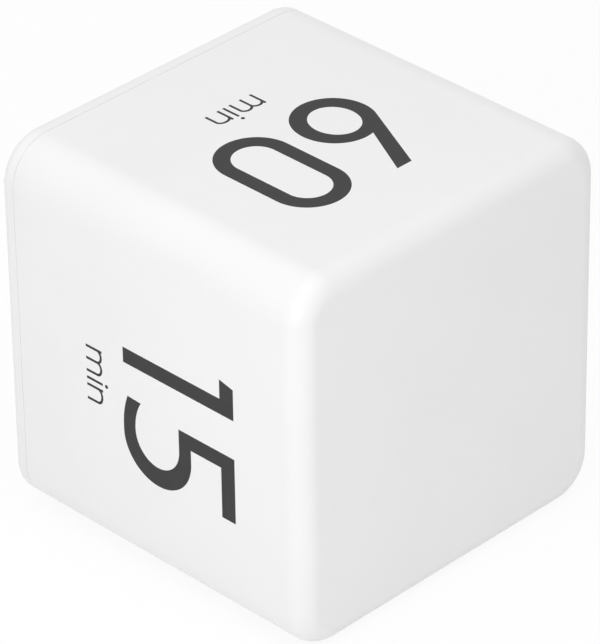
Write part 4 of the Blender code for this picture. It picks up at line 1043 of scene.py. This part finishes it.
def make_door_marks():
    """Moulded marks inside the battery door that show which way round the cells go."""
    raised = {"thickness": MARK_THICKNESS, "rise": MARK_RISE}
    for node, towards in (("cell_upper", 1), ("cell_lower", -1)):
        cell_low, cell_high = corners(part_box(node))
        matrix = front_matrix(0, DOOR_INNER_Y, (cell_low.z + cell_high.z) / 2)
        lay_on(f"{node}_mark", cell_mark(towards), matrix, WHITE, "door", "white_case", **raised)


def make_inner_pieces():
    """Smooth finishes for what the case holds."""
    moulded = {"roughness": 0.5, "grain": 0.3 * MM, "depth": 0.01 * MM}
    cast = {"roughness": 0.12, "grain": 1.2 * MM, "depth": 0.03 * MM}
    sleeve = {"roughness": 0.4, "grain": 0.5 * MM, "depth": 0.01 * MM}
    black = plain("black_nylon", "151516", "1E1E20", **moulded)
    make_cell("cell_upper", 1, cell_wrap("upper_wrap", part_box("cell_upper")[0][0], 1.0))
    make_cell("cell_lower", -1, cell_wrap("lower_wrap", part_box("cell_lower")[1][0], -1.0))
    make_ball()
    make_rings()
    smooth_copy("main_board", solder_mask(), "case")
    smooth_copy("lcd_glass", display_glass(), "case", ease=THIN_EASE)
    window = clear_acrylic()
    smooth_copy("display_window", window, "case", ease=PART_EASE, arcs=True)
    smooth_copy("zebra_connector", striped_rubber(), "case", ease=PART_EASE)
    for number in range(1, 5):
        smooth_copy(f"board_screw_{number}", STEEL, "case", ease=SCREW_EASE)
    smooth_copy("switch_frame", STEEL, "case", ease=PART_EASE)
    smooth_copy("crystal", STEEL, "case", ease=CAN_EASE)
    smooth_copy("switch_lever", black, "slider", ease=PART_EASE)
    for node in ("buzzer", "sensor_cup", "sensor_base"):
        smooth_copy(node, black, "case", ease=PART_EASE)
    epoxy = plain("epoxy", "0B0B0C", "121213", **cast)
    smooth_copy("controller_blob", epoxy, "case", angle=50)
    smooth_copy("capacitor", capacitor_sleeve(), "case", ease=CAN_EASE)
    for node in ("chip_1", "chip_2", "chip_3"):
        smooth_copy(node, chip_body(node), "case", ease=THIN_EASE)
    for node in ("bridge_contact", "positive_contact", "negative_contact"):
        smooth_copy(node, NICKEL, "case", ease=THIN_EASE)
    for node in ("spring_upper", "spring_lower"):
        smooth_copy(node, NICKEL, "case", angle=60)
    red = plain("red_pvc", "8E1414", "A31C1A", **sleeve)
    dark = plain("black_pvc", "131313", "1C1C1C", **sleeve)
    smooth_copy("red_lead", red, "case", angle=60)
    smooth_copy("black_lead", dark, "case", angle=60)


# Camera, lights and floor

PHOTO_HEIGHT = 644
CAMERA_AZIMUTH = -44.96
CAMERA_ELEVATION = 32.50
CAMERA_ROLL = -0.84
CAMERA_DISTANCE = 753.0 * MM
CAMERA_TARGET = Vector((-0.54 * MM, 0, 31.42 * MM))
FOCAL_PIXELS = 5011.8
SENSOR = 36.0
WORLD_STRENGTH = 0.498
FLOOR_ALBEDO = 0.9
FLOOR_WHITE = 0.88
FLOOR_REACH = 3.0
FLOOR_DROP = 0.02 * MM


def from_angle(azimuth, elevation):
    """The direction towards a place seen from the object; azimuth 0 is -Y and 90 is +X."""
    turn, rise = math.radians(azimuth), math.radians(elevation)
    flat = math.cos(rise)
    return Vector((math.sin(turn) * flat, -math.cos(turn) * flat, math.sin(rise)))


def make_camera():
    """The photo's camera, as fitted to its outline; the height of the picture fixes the lens."""
    back = from_angle(CAMERA_AZIMUTH, CAMERA_ELEVATION)
    right = from_angle(CAMERA_AZIMUTH + 90, 0)
    up = back.cross(right)
    roll = math.radians(CAMERA_ROLL)
    across = right * math.cos(roll) + up * math.sin(roll)
    upward = up * math.cos(roll) - right * math.sin(roll)
    data = bpy.data.cameras.new("camera")
    data.sensor_fit = "VERTICAL"
    data.sensor_height = SENSOR
    data.lens = FOCAL_PIXELS * SENSOR / PHOTO_HEIGHT
    camera = bpy.data.objects.new("camera", data)
    turn = Matrix((across, upward, back)).transposed().to_4x4()
    camera.matrix_world = Matrix.Translation(CAMERA_TARGET + back * CAMERA_DISTANCE) @ turn
    bpy.context.scene.collection.objects.link(camera)
    bpy.context.scene.camera = camera


def soft_box(name, azimuth, elevation, distance, size, power):
    """A square lamp that faces the middle of the timer."""
    data = bpy.data.lights.new(name, "AREA")
    data.shape = "SQUARE"
    data.size = size
    data.energy = power
    light = bpy.data.objects.new(name, data)
    direction = from_angle(azimuth, elevation)
    turn = direction.to_track_quat("Z", "Y").to_matrix().to_4x4()
    place = Vector((0, 0, HALF_SIDE)) + direction * distance
    light.matrix_world = Matrix.Translation(place) @ turn
    bpy.context.scene.collection.objects.link(light)


def make_lights():
    """A small key light near the left face, and three large soft boxes above."""
    large = {"distance": 1.0, "size": 0.9}
    soft_box("key_light", azimuth=-65, elevation=22, distance=0.36, size=0.16, power=0.35)
    soft_box("top_light", azimuth=0, elevation=90, power=2.84, **large)
    soft_box("front_light", azimuth=0, elevation=45, power=1.16, **large)
    soft_box("rear_light", azimuth=180, elevation=45, power=0.99, **large)


def make_floor():
    """Floor: nearly plain white to the camera, with the timer's shadow, and lit otherwise."""
    shader = Shader("floor")
    seen = shader.rays_to_white()
    shader.set(base_color=shader.mix(seen, grey(FLOOR_ALBEDO), grey(1.0)), roughness=0.9)
    glow = shader.node("ShaderNodeEmission", None, {"Color": grey(1.0), "Strength": 1.0})
    shader.finish_with(Socket(shader, shader.principled.outputs[0]), FLOOR_WHITE * seen, glow)
    shape = bmesh.new()
    level = Matrix.Translation((0, 0, -FLOOR_DROP))
    bmesh.ops.create_grid(shape, x_segments=1, y_segments=1, size=FLOOR_REACH, matrix=level)
    floor = new_object("floor", shape, shader.material)


def make_world():
    """Soft light from all round, behind a background that is white to the camera."""
    world = bpy.data.worlds.new("studio")
    bpy.context.scene.world = world
    shader = Shader("studio", world)
    light = {"Color": grey(1.0), "Strength": WORLD_STRENGTH}
    lamps = shader.node("ShaderNodeBackground", None, light)
    white = shader.node("ShaderNodeBackground", None, {"Color": grey(1.0), "Strength": 1.0})
    shader.finish_with(lamps, shader.rays_to_white(), white)
    bpy.context.scene.view_settings.view_transform = "Standard"


WHITE = white_abs()
INK = printed_ink("printed_ink", "3B3B3B", "434343")
SHOWN = printed_ink("shown_segment", "23282A", "2A2F31")
FAINT = printed_ink("faint_segment", "98A091", "9EA697")
STEEL = drawn_metal("zinc_steel", "A9AAAC", "C4C5C6", roughness=0.28, stretch=(1, 1, 8))
NICKEL = drawn_metal("bright_nickel", "BDB9B0", "D2CFC7", roughness=0.2, stretch=(1, 8, 1))
SOLDER = drawn_metal("solder_tin", "B4B4B2", "CFCFCC", roughness=0.3, stretch=(1, 1, 1))

make_camera()
make_lights()
make_floor()
make_world()
make_housing()
make_numerals()
make_legends()
make_digits()
make_door_marks()
make_inner_pieces()
smooth_copy("rear_cover", WHITE, "case", arcs=True, rear_ease=EDGE_EASE)
smooth_copy("battery_door", WHITE, "door", arcs=True, rear_ease=EDGE_EASE)
smooth_copy("switch_knob", WHITE, "slider", ease=EDGE_EASE)
